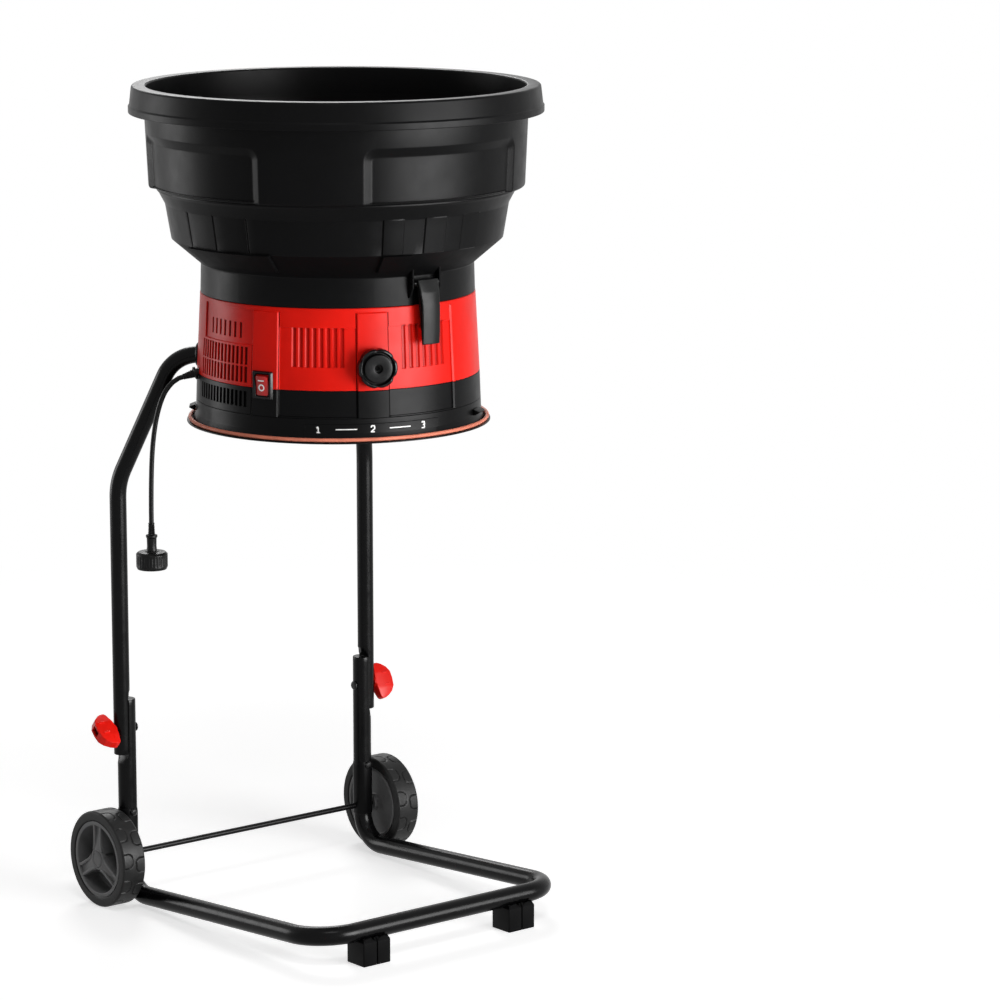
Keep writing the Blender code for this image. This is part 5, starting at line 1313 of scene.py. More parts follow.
def knobShape():
    # a lobed skirt, a deep groove round the face, and a raised disc with the stud's hole
    k = knobLook
    radius, length, ringIn, disc, hole = (
        k[part] for part in ("radius", "length", "ringIn", "disc", "recess")
    )
    ringTop = length - k["ringDrop"]
    grooveFloor, holeFloor, bore = ringTop - k["groove"], length - 0.0080, 0.0033
    corners = [
        (bore, 0.0), (radius - 0.0018, 0.0), (radius, 0.0024), (radius, ringTop - 0.0026),
        (radius - 0.0020, ringTop - 0.0004), (ringIn + 0.0012, ringTop),
        (ringIn, ringTop - 0.0012), (ringIn - 0.0006, grooveFloor), (disc + 0.0006, grooveFloor),
        (disc, length - 0.0014), (disc - 0.0012, length), (hole + 0.0008, length),
        (hole, length - 0.0008), (hole, holeFloor), (bore, holeFloor),
    ]
    radii = [
        0, 0.0008, 0.0008, 0.0014, 0.0012, 0.0008, 0.0006, 0.0006,
        0.0006, 0.0008, 0.0007, 0.0004, 0.0004, 0.0006, 0,
    ]
    profile = filleted(corners, radii, True, stepAngle=14)

    def wave(a):
        # 1 in the middle of each notch and 0 between: a high power of a cosine
        return (0.5 + 0.5 * np.cos(a * k["lobes"])) ** 5

    def lobes(a, r, z):
        rim = np.clip((r - ringIn - 0.0012) / 0.0026, 0, 1)
        # painted shade in the groove round the face and in the stud's hole
        inGroove = (r > disc + 0.0002) * (r < ringIn - 0.0002)
        inGroove = inGroove * (z < ringTop - 0.0030) * (z > 0.001)
        return -k["lobeDepth"] * wave(np.radians(a)) * rim, np.maximum(inGroove, r < hole + 0.0001)

    def notch(points):
        a, r = polar(points)
        onRing = np.clip((r - ringIn + 0.0010) / 0.0008, 0, 1) * (points[:, 2] > ringTop - 0.0050)
        return points - np.column_stack([0 * a, 0 * a, k["notchDrop"] * wave(a) * onRing])

    return revolved(profile, 216, relief=lobes).bent(notch)


knobAxis = radial(knobLook["azimuth"])
knobPlace = facing(spot(knobLook["azimuth"], knobLook["seat"], knobLook["z"]), knobAxis)
knob = knobShape().moved(knobPlace)
makePiece("depthKnob", knob, "depth_dial", "knob_black", "depth_knob", sharp=40)

studCorners = [
    (0, 0.2178), (0.0024, 0.2180), (0.0030, 0.2174), (0.0030, 0.1992), (0.0070, 0.1992),
    (0.0070, 0.1956), (0, 0.1952),
]
stud = turned(studCorners, [0, 0.0004, 0.0003, 0, 0.0004, 0.0008, 0], 32)
stud = stud.moved(facing((0, 0, knobLook["z"]), knobAxis))
makePiece("knobStud", stud, "machine", "steel", "knob_stud", look="coneBlack")


# rocker switch
switchLook = {
    "azimuth": -68.4,
    "z": 0.8216,
    "seat": 0.2069,
    "front": 0.2109,
    "back": 0.1884,
    "tilt": 6.0,
    "pivot": 0.2082,
    "well": (0.0109, 0.0155),
}
atSwitch = onAxis(switchLook["azimuth"], switchLook["z"])


def bezelShape():
    # a raised frame whose inner lip slopes into the well, with the body behind it
    s = switchLook
    wellX, wellY = s["well"]
    seat, front = s["seat"], s["front"]
    steps = [
        (0.0152, 0.0187, 0.0012, s["back"]), (0.0152, 0.0187, 0.0012, seat),
        (0.0170, 0.0205, 0.0022, seat), (0.0170, 0.0205, 0.0022, front - 0.0034),
        (0.0150, 0.0192, 0.0018, front - 0.0004), (0.0146, 0.0188, 0.0016, front),
        (wellX + 0.0022, wellY + 0.0022, 0.0016, front),
        (wellX + 0.0016, wellY + 0.0016, 0.0014, front - 0.0006),
        (wellX + 0.0003, wellY + 0.0003, 0.0010, front - 0.0016),
        (wellX, wellY, 0.0010, front - 0.0022), (wellX, wellY, 0.0010, s["back"] + 0.0085),
    ]
    lines = [rectangle((-x, -y), (x, y), corner, 15) for x, y, corner, _ in steps]
    return layered(lines, [z for _, _, _, z in steps])


def rockerShape():
    # its side view is a shallow V with a rounded keel, drawn as (reach, height)
    corners = [
        (0.0035, -0.0145), (0.0025, 0.0), (0.0035, 0.0145), (-0.0035, 0.0125), (-0.0062, 0.0),
        (-0.0035, -0.0125),
    ]
    radii = [0.0010, 0.02, 0.0010, 0.0006, 0.004, 0.0006]
    levels = [
        (-0.0104, 0.0016), (-0.0088, 0.0004), (-0.0082, 0.0), (0.0070, 0.0), (0.0076, 0.0003),
        (0.0104, 0.0022),
    ]
    return slab(filleted(corners, radii, True, stepAngle=8), levels)


def rockerMarks():
    # a bar above and a ring below, raised a hair off the rocker's two faces
    def reachAt(height):
        return 0.0025 + 0.00100 * np.clip((np.abs(height) - 0.0012) / 0.0133, 0, 1) + 0.00008

    bar = stroke([(-0.0050, 0.0075), (0.0050, 0.0075)], 0.0017, 0.0001)
    a = np.linspace(0, 2 * math.pi, 41)[:-1]
    loops = [
        np.stack([r * np.cos(a), -0.0027 + r * np.sin(a)], -1)
        for r in (0.0031, 0.0050, 0.0050, 0.0031)
    ]
    marks = bar + layered(loops, (0.0, 0.0, 0.0001, 0.0001), loop=True)
    x, y, z = marks.points.T
    marks.points = np.stack([reachAt(y) + z, y, -x], -1)
    return marks.outward()


pivot = spot(switchLook["azimuth"], switchLook["pivot"], switchLook["z"])
across = radial(switchLook["azimuth"] + 90)
tilted = Matrix.Rotation(math.radians(switchLook["tilt"]), 4, across)
rockerPlace = Matrix.Translation(pivot) @ tilted @ standing(switchLook["azimuth"])
bezel = bezelShape().moved(atSwitch)
makePiece("switchBezel", bezel, "machine", "knob_black", "switch_bezel", sharp=28)
rocker = rockerShape().moved(rockerPlace)
makePiece("switchRocker", rocker, "rocker", "switch_red", "switch_rocker")
marks = rockerMarks().moved(rockerPlace)
makePiece("switchMarks", marks, "rocker", "switch_red", look="markWhite")


# motor, its spider, and the line head
print("stage: motor")

motorLook = {
    "foot": 0.7420,
    "top": 0.8730,
    "radius": 0.0620,
    "wall": 0.0030,
    "edge": 0.0060,
    "bore": 0.0068,
    "seat": (0.0080, 0.0133, 0.0160),
    "slots": 30,
    "slotDepth": 0.0014,
    "slotRows": ((0.7470, 0.7725), (0.8045, 0.8630)),
    "vents": 12,
    "ventReach": (0.0270, 0.0500),
    "ventDepth": 0.0022,
    "spiderZ": 0.7880,
    "spiderHalf": 0.0120,
    "armHalf": 0.0110,
    "ringInner": 0.0623,
    "ringOuter": 0.0693,
    "armWidth": 0.0060,
    "armWeb": 0.0022,
    "armAzimuths": (45.0, 135.0, 225.0, 315.0),
    "headRadius": 0.0450,
    "headBore": 0.0063,
    "headFoot": 0.8820,
    "headTop": 0.9060,
    "grips": 12,
    "lineY": 0.0220,
    "lineReach": 0.1840,
    "lineRadius": 0.0012,
    "nut": (0.9063, 0.9133, 0.0090, 0.0063),
    "shaft": (0.0060, 0.7420, 0.9153),
}


def podShape():
    # a closed can with a boss; slots run up its side and out over its floor
    m = motorLook
    foot, top, radius = m["foot"], m["top"], m["radius"]
    wall, edge, bore = m["wall"], m["edge"], m["bore"]
    seat, collar, collarOut = m["seat"]
    low, high = foot + wall, top - wall
    near, far = m["ventReach"]
    outer = [
        (bore, top + 0.0060), (0.0180, top + 0.0060), (0.0210, top), (radius - edge, top),
        (radius, top - edge), (radius, foot), (far + 0.0030, foot),
    ]
    inner = [
        (bore, foot), (bore, low), (collar, low), (collar, low + seat), (collarOut, low + seat),
        (collarOut, low), (radius - wall, low), (radius - wall, high - edge),
        (radius - wall - edge, high), (collarOut, high), (collarOut, high - seat),
        (collar, high - seat), (collar, high), (bore, high),
    ]
    radii = [0.0006, 0.0015, 0.0015, 0.0050, 0.0030, 0.0020, 0.0] + [0.0004] * len(inner)
    profile = filleted(outer + inner, radii, True)
    half = 0.0004
    levels = [z + step for row in m["slotRows"] for z in row for step in (-half, half)]
    profile = divided(profile, levels, 0.05)
    inwards = (np.abs(profile[:-1, 1] - foot) < 1e-6) & (-np.diff(profile[:, 0]) > 0.02)
    floor = int(np.argmax(inwards)) + 1
    stops = [far + half, far - half, near + half, near - half, 0.0225, 0.0215, 0.0180, 0.0170]
    stops = np.column_stack([stops, np.full(len(stops), foot)])
    profile = np.concatenate([profile[:floor], stops, profile[floor:]])

    def slots(a, r, z):
        wave = np.clip(2.2 * np.cos(np.radians(a) * m["slots"]) + 0.5, 0, 1)
        rows = sum(ramp(z - row[0], 2 * half) * ramp(row[1] - z, 2 * half) for row in m["slotRows"])
        cut = wave * rows * (r > radius - 0.0005)
        # the second value is painted shade in the slots, which the motor's grey finish does not
        # draw
        return -m["slotDepth"] * cut, cut

    def vents(points):
        # the floor goes up by the vent's depth in each vent, and by half of it in a ring
        # round the boss
        a, r = polar(points)
        wave = np.clip(2.2 * np.cos(a * m["vents"]) + 0.5, 0, 1)
        vent = wave * ramp(r - near, 2 * half) * ramp(far - r, 2 * half)
        ring = ramp(r - 0.0175, 0.001) * ramp(0.0220 - r, 0.001)
        onFloor = points[:, 2] < foot + 1e-6
        up = m["ventDepth"] * (vent + 0.5 * ring) * onFloor
        return points + np.column_stack([0 * a, 0 * a, up])

    return revolved(profile, 360, relief=slots).bent(vents)


def spiderShape():
    # a ring round the motor and four arms, each an I in section
    m = motorLook
    z, half, arm = m["spiderZ"], m["spiderHalf"], m["armHalf"]
    inner, outer = m["ringInner"], m["ringOuter"]
    parts = [revolved(rectangle((inner, z - half), (outer, z + half), 0.0012), 96)]
    wide, web = m["armWidth"], m["armWeb"]
    right = [
        (wide, -arm), (wide, 0.0028 - arm), (web, 0.0045 - arm), (web, arm - 0.0045),
        (wide, arm - 0.0028), (wide, arm),
    ]
    outline = filleted(right + [(-x, y) for x, y in right[::-1]], 0.0006, True)
    box = np.array(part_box("motor_spider"))
    reach = abs(box).max(0)[0] * math.sqrt(2) - wide
    for azimuth in m["armAzimuths"]:
        arm = slab(outline, [(outer - 0.0020, 0.0), (reach - 0.0006, 0.0), (reach, 0.0006)])
        parts.append(arm.moved(facing((0, 0, z), radial(azimuth))))
    return joined(parts)


def headShape():
    # a round head with a scalloped side and a stepped top
    m = motorLook
    radius, foot, top, bore = m["headRadius"], m["headFoot"], m["headTop"], m["headBore"]
    corners = [
        (bore, foot), (radius - 0.0020, foot), (radius, foot + 0.0020), (radius, top - 0.0070),
        (radius - 0.0060, top - 0.0012), (0.0300, top - 0.0012), (0.0292, top - 0.0028),
        (0.0262, top - 0.0028), (0.0254, top), (bore, top),
    ]
    radii = [0.0004, 0.0010, 0.0010, 0.0030, 0.0030, 0.0004, 0.0004, 0.0004, 0.0006, 0.0004]

    def grips(a, r, z):
        wave = (0.5 - 0.5 * np.cos(np.radians(a) * m["grips"])) ** 3
        return -0.0026 * wave * np.clip((r - 0.0330) / 0.0100, 0, 1), 0 * a

    return turned(corners, radii, 240, relief=grips)


def eyeletShapes():
    m = motorLook
    corners = [
        (0.0014, -0.0030), (0.0026, -0.0030), (0.0026, 0.0006), (0.0020, 0.0012), (0.0014, 0.0008),
    ]
    x = math.sqrt(m["headRadius"] ** 2 - m["lineY"] ** 2)
    z = (m["headFoot"] + m["headTop"]) / 2
    return joined(
        turned(corners, 0.0003, 24).moved(facing((side * x, y, z), (side, 0, 0)))
        for side in (-1, 1)
        for y in (-m["lineY"], m["lineY"])
    )


def nutShape():
    # at each azimuth the reach of a hexagon, cut back by a cone at both ends
    low, high, corner, bore = motorLook["nut"]
    a = np.arange(60) * 2 * math.pi / 60
    reach = corner * math.cos(math.pi / 6) / np.cos(a % (math.pi / 3) - math.pi / 6)
    around = np.stack([np.cos(a), np.sin(a)], -1)
    inside, entry = around * bore, around * (bore + 0.0005)
    cut, hexagon = around * np.minimum(reach, 0.0081)[:, None], around * reach[:, None]
    loops = [inside, entry, cut, hexagon, hexagon, cut, entry, inside]
    levels = [low + 0.0005, low, low, low + 0.0006, high - 0.0006, high, high, high - 0.0005]
    return layered(loops, levels, loop=True)


def shaftShape():
    # its top end is threaded: the radius is a wave of the height
    radius, low, high = motorLook["shaft"]
    pitch, depth, edge = 0.0010, 0.00022, 0.0005
    z = np.arange(high - 0.0010, high - 0.0085, -0.000125)
    reach = radius - depth + depth * np.cos(2 * math.pi * (z - high) / pitch)
    foot = [(radius, low + edge), (radius - edge, low), (0, low)]
    top = [(0, high), (radius - 0.0008, high)]
    return revolved(np.concatenate([top, np.column_stack([reach, z]), foot]), 48)


makePiece("motorCan", podShape(), "machine", "motor_grey", "motor_pod", sharp=28)
makePiece("motorSpider", spiderShape(), "machine", "housing_black", "motor_spider")
makePiece("lineHead", headShape(), "rotor", "housing_black", "line_head")
makePiece("lineEyelets", eyeletShapes(), "rotor", "brass")
makePiece("headNut", nutShape(), "rotor", "steel", "head_nut", sharp=24)
makePiece("rotorShaft", shaftShape(), "rotor", "steel", "rotor_shaft")
for end, side in (("front", -1), ("rear", 1)):
    reach, z = motorLook["lineReach"], (motorLook["headFoot"] + motorLook["headTop"]) / 2
    y = side * motorLook["lineY"]
    line = tube(along([(-reach, y, z), (reach, y, z)], 0.0200), motorLook["lineRadius"], 0.0003, 16)
    makePiece("cuttingLine_" + end, line, "rotor", "line_orange", "cutting_line_" + end)


# tube frame
print("stage: stand")

frameLook = {
    "radius": 0.0140,
    "x": 0.2217,
    "backY": 0.2384,
    "frontY": -0.2389,
    "topZ": 0.3119,
    "backZ": 0.0137,
    "frontZ": 0.0480,
    "bends": (0.045, 0.062, 0.062, 0.045),
    "lapFace": 0.2262,
    "lapGap": 0.00015,
    "pressFoot": 0.2140,
    "pressSlope": 0.0120,
}
legLook = {
    "radius": 0.0125,
    "x": 0.2297,
    "footZ": 0.2280,
    "kneeZ": 0.6410,
    "topZ": 0.8340,
    "elbowR": 0.2432,
    "endR": 0.1620,
    "bends": (0.100, 0.056),
    "pressTop": 0.3259,
    "pressUnder": 0.34,
}
legAzimuth = 180.0 - math.degrees(math.atan2(legLook["x"], frameLook["backY"]))


def frameTube():
    f = frameLook
    x, back, front = f["x"], f["backY"], f["frontY"]
    corners = [
        (-x, back, f["topZ"]), (-x, back, f["backZ"]), (-x, front, f["frontZ"]),
        (x, front, f["frontZ"]), (x, back, f["backZ"]), (x, back, f["topZ"]),
    ]
    path = along(filleted(corners, [0, *f["bends"], 0], stepAngle=4), 0.009)
    face = f["lapFace"] - f["lapGap"]

    def press(points):
        # towards its end each tube is pressed flat against the upper leg
        t = np.clip((points[..., 2] - f["pressFoot"]) / f["pressSlope"], 0, 1)
        limit = (x + f["radius"]) * (1 - t) + face * t
        points[..., 0] = np.clip(points[..., 0], -limit, limit)
        return points

    return tube(path, f["radius"], 0.0014, 48, press)


def legTube(side):
    g = legLook
    x, y = side * g["x"], frameLook["backY"]
    elbow, end = (tuple(spot(side * legAzimuth, g[r], g["topZ"])) for r in ("elbowR", "endR"))
    corners = [(x, y, g["footZ"]), (x, y, g["kneeZ"]), elbow, end]
    path = along(filleted(corners, [0, *g["bends"], 0], stepAngle=4), 0.009)
    face = frameLook["lapFace"] + frameLook["lapGap"]

    def press(points):
        # the other side of the lap joint: the leg's foot is pressed flat on its inner side
        x, z = points[..., 0], points[..., 2]
        t = np.clip((g["pressTop"] - z) / frameLook["pressSlope"], 0, 1)
        limit = (g["x"] - g["radius"]) * (1 - t) + face * t
        points[..., 0] = np.where(z < g["pressUnder"], side * np.maximum(side * x, limit), x)
        return points

    return tube(path, g["radius"], 0.0014, 48, press)


def legSocket():
    # the sleeve inside the wall and a collar that the leg comes out of
    sleeve = revolved(rectangle((0.0128, 0.1560), (0.0178, 0.1980), 0.0006), 48)
    corners = [
        (0.0127, 0.2020), (0.0185, 0.2020), (0.0185, 0.2072), (0.0160, 0.2096), (0.0127, 0.2100),
    ]
    return sleeve + turned(corners, [0, 0, 0.0010, 0.0010, 0.0004], 48)


makePiece("baseFrame", frameTube(), "stand", "tube_black", "lower_frame", sharp=30)
for hand, side in (("left", -1), ("right", 1)):
    leg = legTube(side)
    makePiece("upperLeg_" + hand, leg, "machine", "tube_black", "upper_leg_" + hand, sharp=30)
    socket = legSocket().moved(facing((0, 0, legLook["topZ"]), radial(side * legAzimuth)))
    makePiece("legSocket_" + hand, socket, "machine", "housing_black", "leg_socket_" + hand)


# lap bolts and wing knobs
wingLook = {
    "z": 0.2665,
    "start": 0.2440,
    "outline": (
        (0.0000, 0.0000), (0.0090, 0.0002), (0.0252, 0.0040), (0.0284, 0.0070), (0.0282, 0.0125),
        (0.0258, 0.0185), (0.0196, 0.0268), (0.0112, 0.0315), (0.0000, 0.0325),
    ),
    "thickness": 0.0168,
    "taper": (0.0125, 0.0150, 0.30),
    "edge": 0.0011,
    "pocket": (0.0030, 0.0066, 0.0048, 0.0050),
    "ribs": (-0.0070, 0.0115),
    "tilt": {"left": 39.3, "right": 65.7},
}


def lapBolt():
    corners = [
        (0, 0.2038), (0.0048, 0.2038), (0.0070, 0.2056), (0.0070, 0.2074), (0.0030, 0.2074),
        (0.0030, 0.2560), (0, 0.2560),
    ]
    return turned(corners, [0, 0.0014, 0.0006, 0.0003, 0, 0.0004, 0], 32)


def wingShape():
    # a half-round grip: x runs along its chord, y reaches out, z is its thickness. At each x
    # the section is a rectangle with rounded corners between the chord's side and the arc
    w = wingLook
    right = np.array(w["outline"])
    tip = right[:, 0].argmax()
    begin, length, loss = w["taper"]
    at, half, tall, deep = w["pocket"]
    stops = at + np.array([-half - 0.0006, -half, half, half + 0.0006])
    ends = [-right[tip, 0], -begin, begin, right[tip, 0]]
    x = np.unique(np.concatenate([np.linspace(-0.0276, 0.0276, 61), ends, stops]))[:, None]
    inside = np.interp(np.abs(x), right[: tip + 1, 0], right[: tip + 1, 1])
    outside = np.interp(np.abs(x), right[:tip:-1, 0], right[:tip:-1, 1])
    middle, wide = (inside + outside) / 2, (outside - inside) / 2
    thick = w["thickness"] / 2 * (1 - loss * np.clip((np.abs(x) - begin) / length, 0, 1))
    atEnd = np.abs(x) > 0.0280
    edge = w["edge"]
    wide = np.where(atEnd, wide - 0.6 * edge, wide)
    thick = np.where(atEnd, thick - 0.8 * edge, thick)
    quarter = np.radians([0, 22.5, 45, 67.5, 90])
    rows = []
    for sideY, sideZ, turn in ((1, -1, -90), (1, 1, 0), (-1, 1, 90), (-1, -1, 180)):
        a = (quarter + math.radians(turn))[None]
        y = middle + sideY * (wide - edge) + edge * np.cos(a)
        rows.append((y, sideZ * (thick - edge) + edge * np.sin(a)))
        if sideZ < 0 < sideY:
            # the pocket in the rounded edge
            z = np.array([[-tall - 0.0005, -tall, tall, tall + 0.0005]]) + 0 * x
            into = ramp(half - np.abs(x - at), 0.0006) * (np.abs(z) < tall + 0.0001)
            rows.append((middle + wide - deep * into, z))
    y = np.concatenate([row[0] for row in rows], 1)
    z = np.concatenate([row[1] for row in rows], 1)
    points = np.stack([x + 0 * y, y + w["start"], z], -1)
    count, around = points.shape[:2]
    hollow = np.zeros((count, around))
    # painted shade in the pocket
    hollow[:, 5:9] = into
    i = np.arange(around)
    ends = [i[None, ::-1], i[None] + (count - 1) * around]
    faces = [gridFaces(count, around, False, True), *ends]
    parts = [Shape(points.reshape(-1, 3), faces, hollow.reshape(-1)).outward()]
    # two low ribs on each face, square to the rounded edge
    low, across, rise = w["start"] + 0.0150, 0.0011, 0.0013
    for x in w["ribs"]:
        for z in (-w["thickness"] / 2, w["thickness"] / 2):
            corners = (x - across, low, z - rise), (x + across, low + 0.0100, z + rise)
            parts.append(roundedBox(*corners, 0.0006, 0.0008))
    return joined(parts)


def wingStem():
    radii = [0.0003, 0.0006, 0.0005, 0]
    return revolved(rectangle((0.0033, 0.2425), (0.0080, 0.2456), radii), 40)


for hand, side in (("left", -1), ("right", 1)):
    out = Vector((side, 0, 0))
    axis = facing((0, frameLook["backY"], wingLook["z"]), out)
    bolt = lapBolt().moved(axis)
    makePiece("lapBolt_" + hand, bolt, "stand", "steel", "lap_bolt_" + hand, look="boltBlack")
    tilt = math.radians(wingLook["tilt"][hand])
    chord = Vector((0, math.cos(tilt), math.sin(tilt)))
    turn = Matrix((chord, out, chord.cross(out))).transposed().to_4x4()
    place = Matrix.Translation((0, frameLook["backY"], wingLook["z"])) @ turn
    wing = wingShape().moved(place) + wingStem().moved(axis)
    makePiece("wingKnob_" + hand, wing, "wing_" + hand, "wing_red", "wing_knob_" + hand, sharp=30)


# wheels
wheelLook = {
    "radius": 0.0726,
    "half": 0.0196,
    "x": 0.2587,
    "y": 0.2400,
    "bed": 0.0577,
    "shoulder": 0.0022,
    "ringOut": 0.0574,
    "ringIn": 0.0515,
    "ringHalf": 0.0190,
    "disc": (-0.0120, -0.0085),
    "hub": 0.0120,
    "spokeHalf": 0.0098,
    "spokeRib": 0.0042,
    "ribTop": 0.0186,
    "panelTop": 0.0150,
    "lugs": 11,
    "lugHalf": 0.0110,
    "lugReach": 0.0165,
    "lugCorner": 0.0075,
    "groove": 0.0010,
    "grooveDepth": 0.0013,
}


def treadRelief(a, r, z):
    # U-shaped grooves run in from each shoulder, the two rows a little out of step; painted shade
    # fills the grooves and a band at the bead next to the rim
    w = wheelLook
    fade = np.clip((w["half"] - 0.0010 - np.abs(z)) / 0.0022, 0, 1)
    onTread = (r > w["radius"] - 0.0020) * fade
    pitch = 2 * math.pi / w["lugs"]
    cut = 0 * a
    for side, shift in ((1, 0.0), (-1, 0.2)):
        angle = np.radians(a) + shift * pitch
        arc = ((angle + pitch / 2) % pitch - pitch / 2) * w["radius"]
        inward = w["half"] - side * z
        distance = panelDistance(arc, inward, w["lugHalf"], w["lugReach"], w["lugCorner"])
        line = np.clip(1.15 - np.abs(distance) / w["groove"], 0, 1)
        cut = np.maximum(cut, line * (inward < w["lugReach"] + 0.002))
    # painted shade in a band at the bead, where the tyre meets the rim
    beadShade = np.clip((w["bed"] + 0.0022 - r) / 0.0010, 0, 1) * (np.abs(z) > 0.015)
    return -w["grooveDepth"] * cut * onTread, np.maximum(0.8 * cut * onTread, beadShade)


def tyreShape():
    w = wheelLook
    half, radius, bed, edge = w["half"], w["radius"], w["bed"], w["shoulder"]
    side = [
        (bed, half - 0.0018), (bed + 0.0010, half - 0.0014), (bed + 0.0022, half),
        (radius - edge, half), (radius, half - edge),
    ]
    corners = side + [(r, -z) for r, z in side[::-1]]
    radii = [0.0004, 0.0006, 0.0006, 0.0012, 0.0022]
    profile = filleted(corners, radii + radii[::-1], True, stepAngle=14)
    # the tread is the first stretch across the tyre
    i = int(np.argmax(np.abs(np.diff(profile[:, 1])) > 0.02))
    share = np.linspace(0, 1, 34)[1:-1, None]
    tread = profile[i] + share * (profile[i + 1] - profile[i])
    profile = np.concatenate([profile[: i + 1], tread, profile[i + 1 :]])
    return revolved(profile, 528, relief=treadRelief)


def directions(middle):
    # along a spoke and across it
    a = math.radians(middle)
    return np.array([math.cos(a), math.sin(a)]), np.array([-math.sin(a), math.cos(a)])


def spokeOutline(middle, near, far, halfNear, halfFar):
    # a spoke between two circles, spreading a little where it meets each of them
    t = np.linspace(0, 1, 13)
    r = near + (far - near) * t
    half = halfFar + (halfNear - halfFar) * (1 - t)
    half = half + 0.0016 * np.clip((t - 0.86) / 0.14, 0, 1) ** 2
    half = half + 0.0030 * np.clip((0.22 - t) / 0.22, 0, 1) ** 2
    forth, across = directions(middle)
    left = r[:, None] * forth + half[:, None] * across
    right = r[:, None] * forth - half[:, None] * across
    return np.concatenate([left, right[::-1]])


def rimShape():
    # a flat ring, a closed back disc, and three box spokes with raised sides round a sunk middle
    w = wheelLook
    out, inside, half, hub = w["ringOut"], w["ringIn"], w["ringHalf"], w["hub"]
    low, high = w["disc"]
    body = [
        (out, half - 0.0006), (out, -half), (inside + 0.0010, -half), (inside, low), (hub, low),
        (hub, -0.0196), (0.0047, -0.0196), (0.0047, 0.0163), (hub - 0.0004, 0.0163),
        (hub + 0.0010, high + 0.0010), (inside - 0.0010, high), (inside, half - 0.0008),
        (inside + 0.0008, half), (out - 0.0006, half),
    ]
    radii = [
        0.0004, 0.0006, 0.0010, 0.0020, 0.0020, 0.0006, 0.0004,
        0.0003, 0.0003, 0.0030, 0.0030, 0.0005, 0.0005, 0.0004,
    ]
    parts = [revolved(filleted(body, radii, True, stepAngle=15), 144)]
    rib, spoke, panelTop, ribTop = w["spokeRib"], w["spokeHalf"], w["panelTop"], w["ribTop"]
    for middle in (90, 210, 330):
        core = spokeOutline(middle, 0.0100, inside + 0.0012, spoke - 0.0004, spoke - 0.0004)
        parts.append(roundedSlab(core, high - 0.0010, panelTop, 0.0008))
        path = spokeOutline(middle, 0.0135, inside + 0.0010, spoke, spoke)
        for edge, side in ((path[:12:-1], -1), (path[:13], 1)):
            across = directions(middle)[1] * side
            strip = np.concatenate([edge, (edge - across * rib)[::-1]])
            parts.append(roundedSlab(strip, panelTop - 0.0030, ribTop, 0.0007))
        inner = spokeOutline(middle, 0.0112, 0.0430, spoke - 0.0030, spoke - 0.0030)
        web = roundedSlab(inner, panelTop - 0.0040, panelTop + 0.0032, 0.0006)
        # the web's face falls from the hub outwards
        slope = np.clip((polar(web.points)[1] - 0.018) / 0.026, 0, 1)
        web.points[:, 2] -= 0.0038 * slope * (web.points[:, 2] > panelTop - 0.002)
        parts.append(web)
    neck = [
        (0.0100, 0.0120), (0.0166, 0.0120), (0.0166, ribTop - 0.0012), (0.0154, ribTop),
        (0.0128, ribTop), (0.0128, 0.0150), (0.0100, 0.0150),
    ]
    return joined(parts) + turned(neck, [0, 0.0010, 0.0006, 0.0006, 0.0004, 0.0006, 0], 64)


def hubCapShape():
    corners = [
        (0, 0.0190), (0.0090, 0.0190), (0.0096, 0.0183), (0.0100, 0.0192), (0.0104, 0.0196),
        (0.0112, 0.0196), (0.0120, 0.0188), (0.0120, 0.0166), (0, 0.0166),
    ]
    return turned(corners, [0, 0.0004, 0.0003, 0.0003, 0.0003, 0.0004, 0.0004, 0.0003, 0], 64)


for hand, side in (("left", -1), ("right", 1)):
    place = facing((side * wheelLook["x"], wheelLook["y"], wheelLook["radius"]), (side, 0, 0))
    body, name = "wheel_" + hand, hand.title()
    tyre, rim, cap = (make().moved(place) for make in (tyreShape, rimShape, hubCapShape))
    makePiece("tyre" + name, tyre, body, "tyre_black", "tyre_" + hand, sharp=40)
    makePiece("rim" + name, rim, body, "wheel_grey", "wheel_rim_" + hand)
    makePiece("hubCap" + name, cap, body, "wheel_grey", "hub_cap_" + hand)


# axle, brackets, feet
axleLook = {"radius": 0.0044, "reach": 0.2747, "edge": 0.0008}
reach, radius = axleLook["reach"], axleLook["radius"]
axle = turned([(0, -reach), (radius, -reach), (radius, reach), (0, reach)], axleLook["edge"], 32)
axle = axle.moved(facing((0, wheelLook["y"], wheelLook["radius"]), (1, 0, 0)))
makePiece("axleRod", axle, "stand", "steel", "axle", look="tubeBlack")

bracketLook = {
    "outerX": 0.2368,
    "size": 0.0300,
    "low": 0.0600,
    "high": 0.1480,
    "boltZ": 0.1390,
    "corner": 0.0135,
}


def bracketShape(side):
    # a sleeve, square with very round corners, that the leg stands in
    b = bracketLook
    low, high, half = b["low"], b["high"], b["size"] / 2
    middle = np.array([side * (b["outerX"] - half), frameLook["backY"]])
    outline = rectangle((-half, -half), (half, half), b["corner"], 9) + middle
    levels = [
        (low, 0.0020), (low + 0.0005, 0.0010), (low + 0.0014, 0.0006), (high - 0.0100, 0.0006),
        (high - 0.0070, 0.0009), (high - 0.0030, 0.0017), (high - 0.0010, 0.0022), (high, 0.0024),
    ]
    return slab(outline, levels)


def bracketBolt():
    corners = [
        (0, 0.0183), (0.0035, 0.0180), (0.0055, 0.0165), (0.0055, 0.0150), (0.0030, 0.0150),
        (0.0030, -0.0150), (0, -0.0150),
    ]
    return turned(corners, [0, 0.001, 0.0004, 0.0002, 0, 0.0003, 0], 32)


footLook = {"x": 0.1342, "width": 0.0487, "depth": 0.0400, "top": 0.0410, "groove": 0.0020}


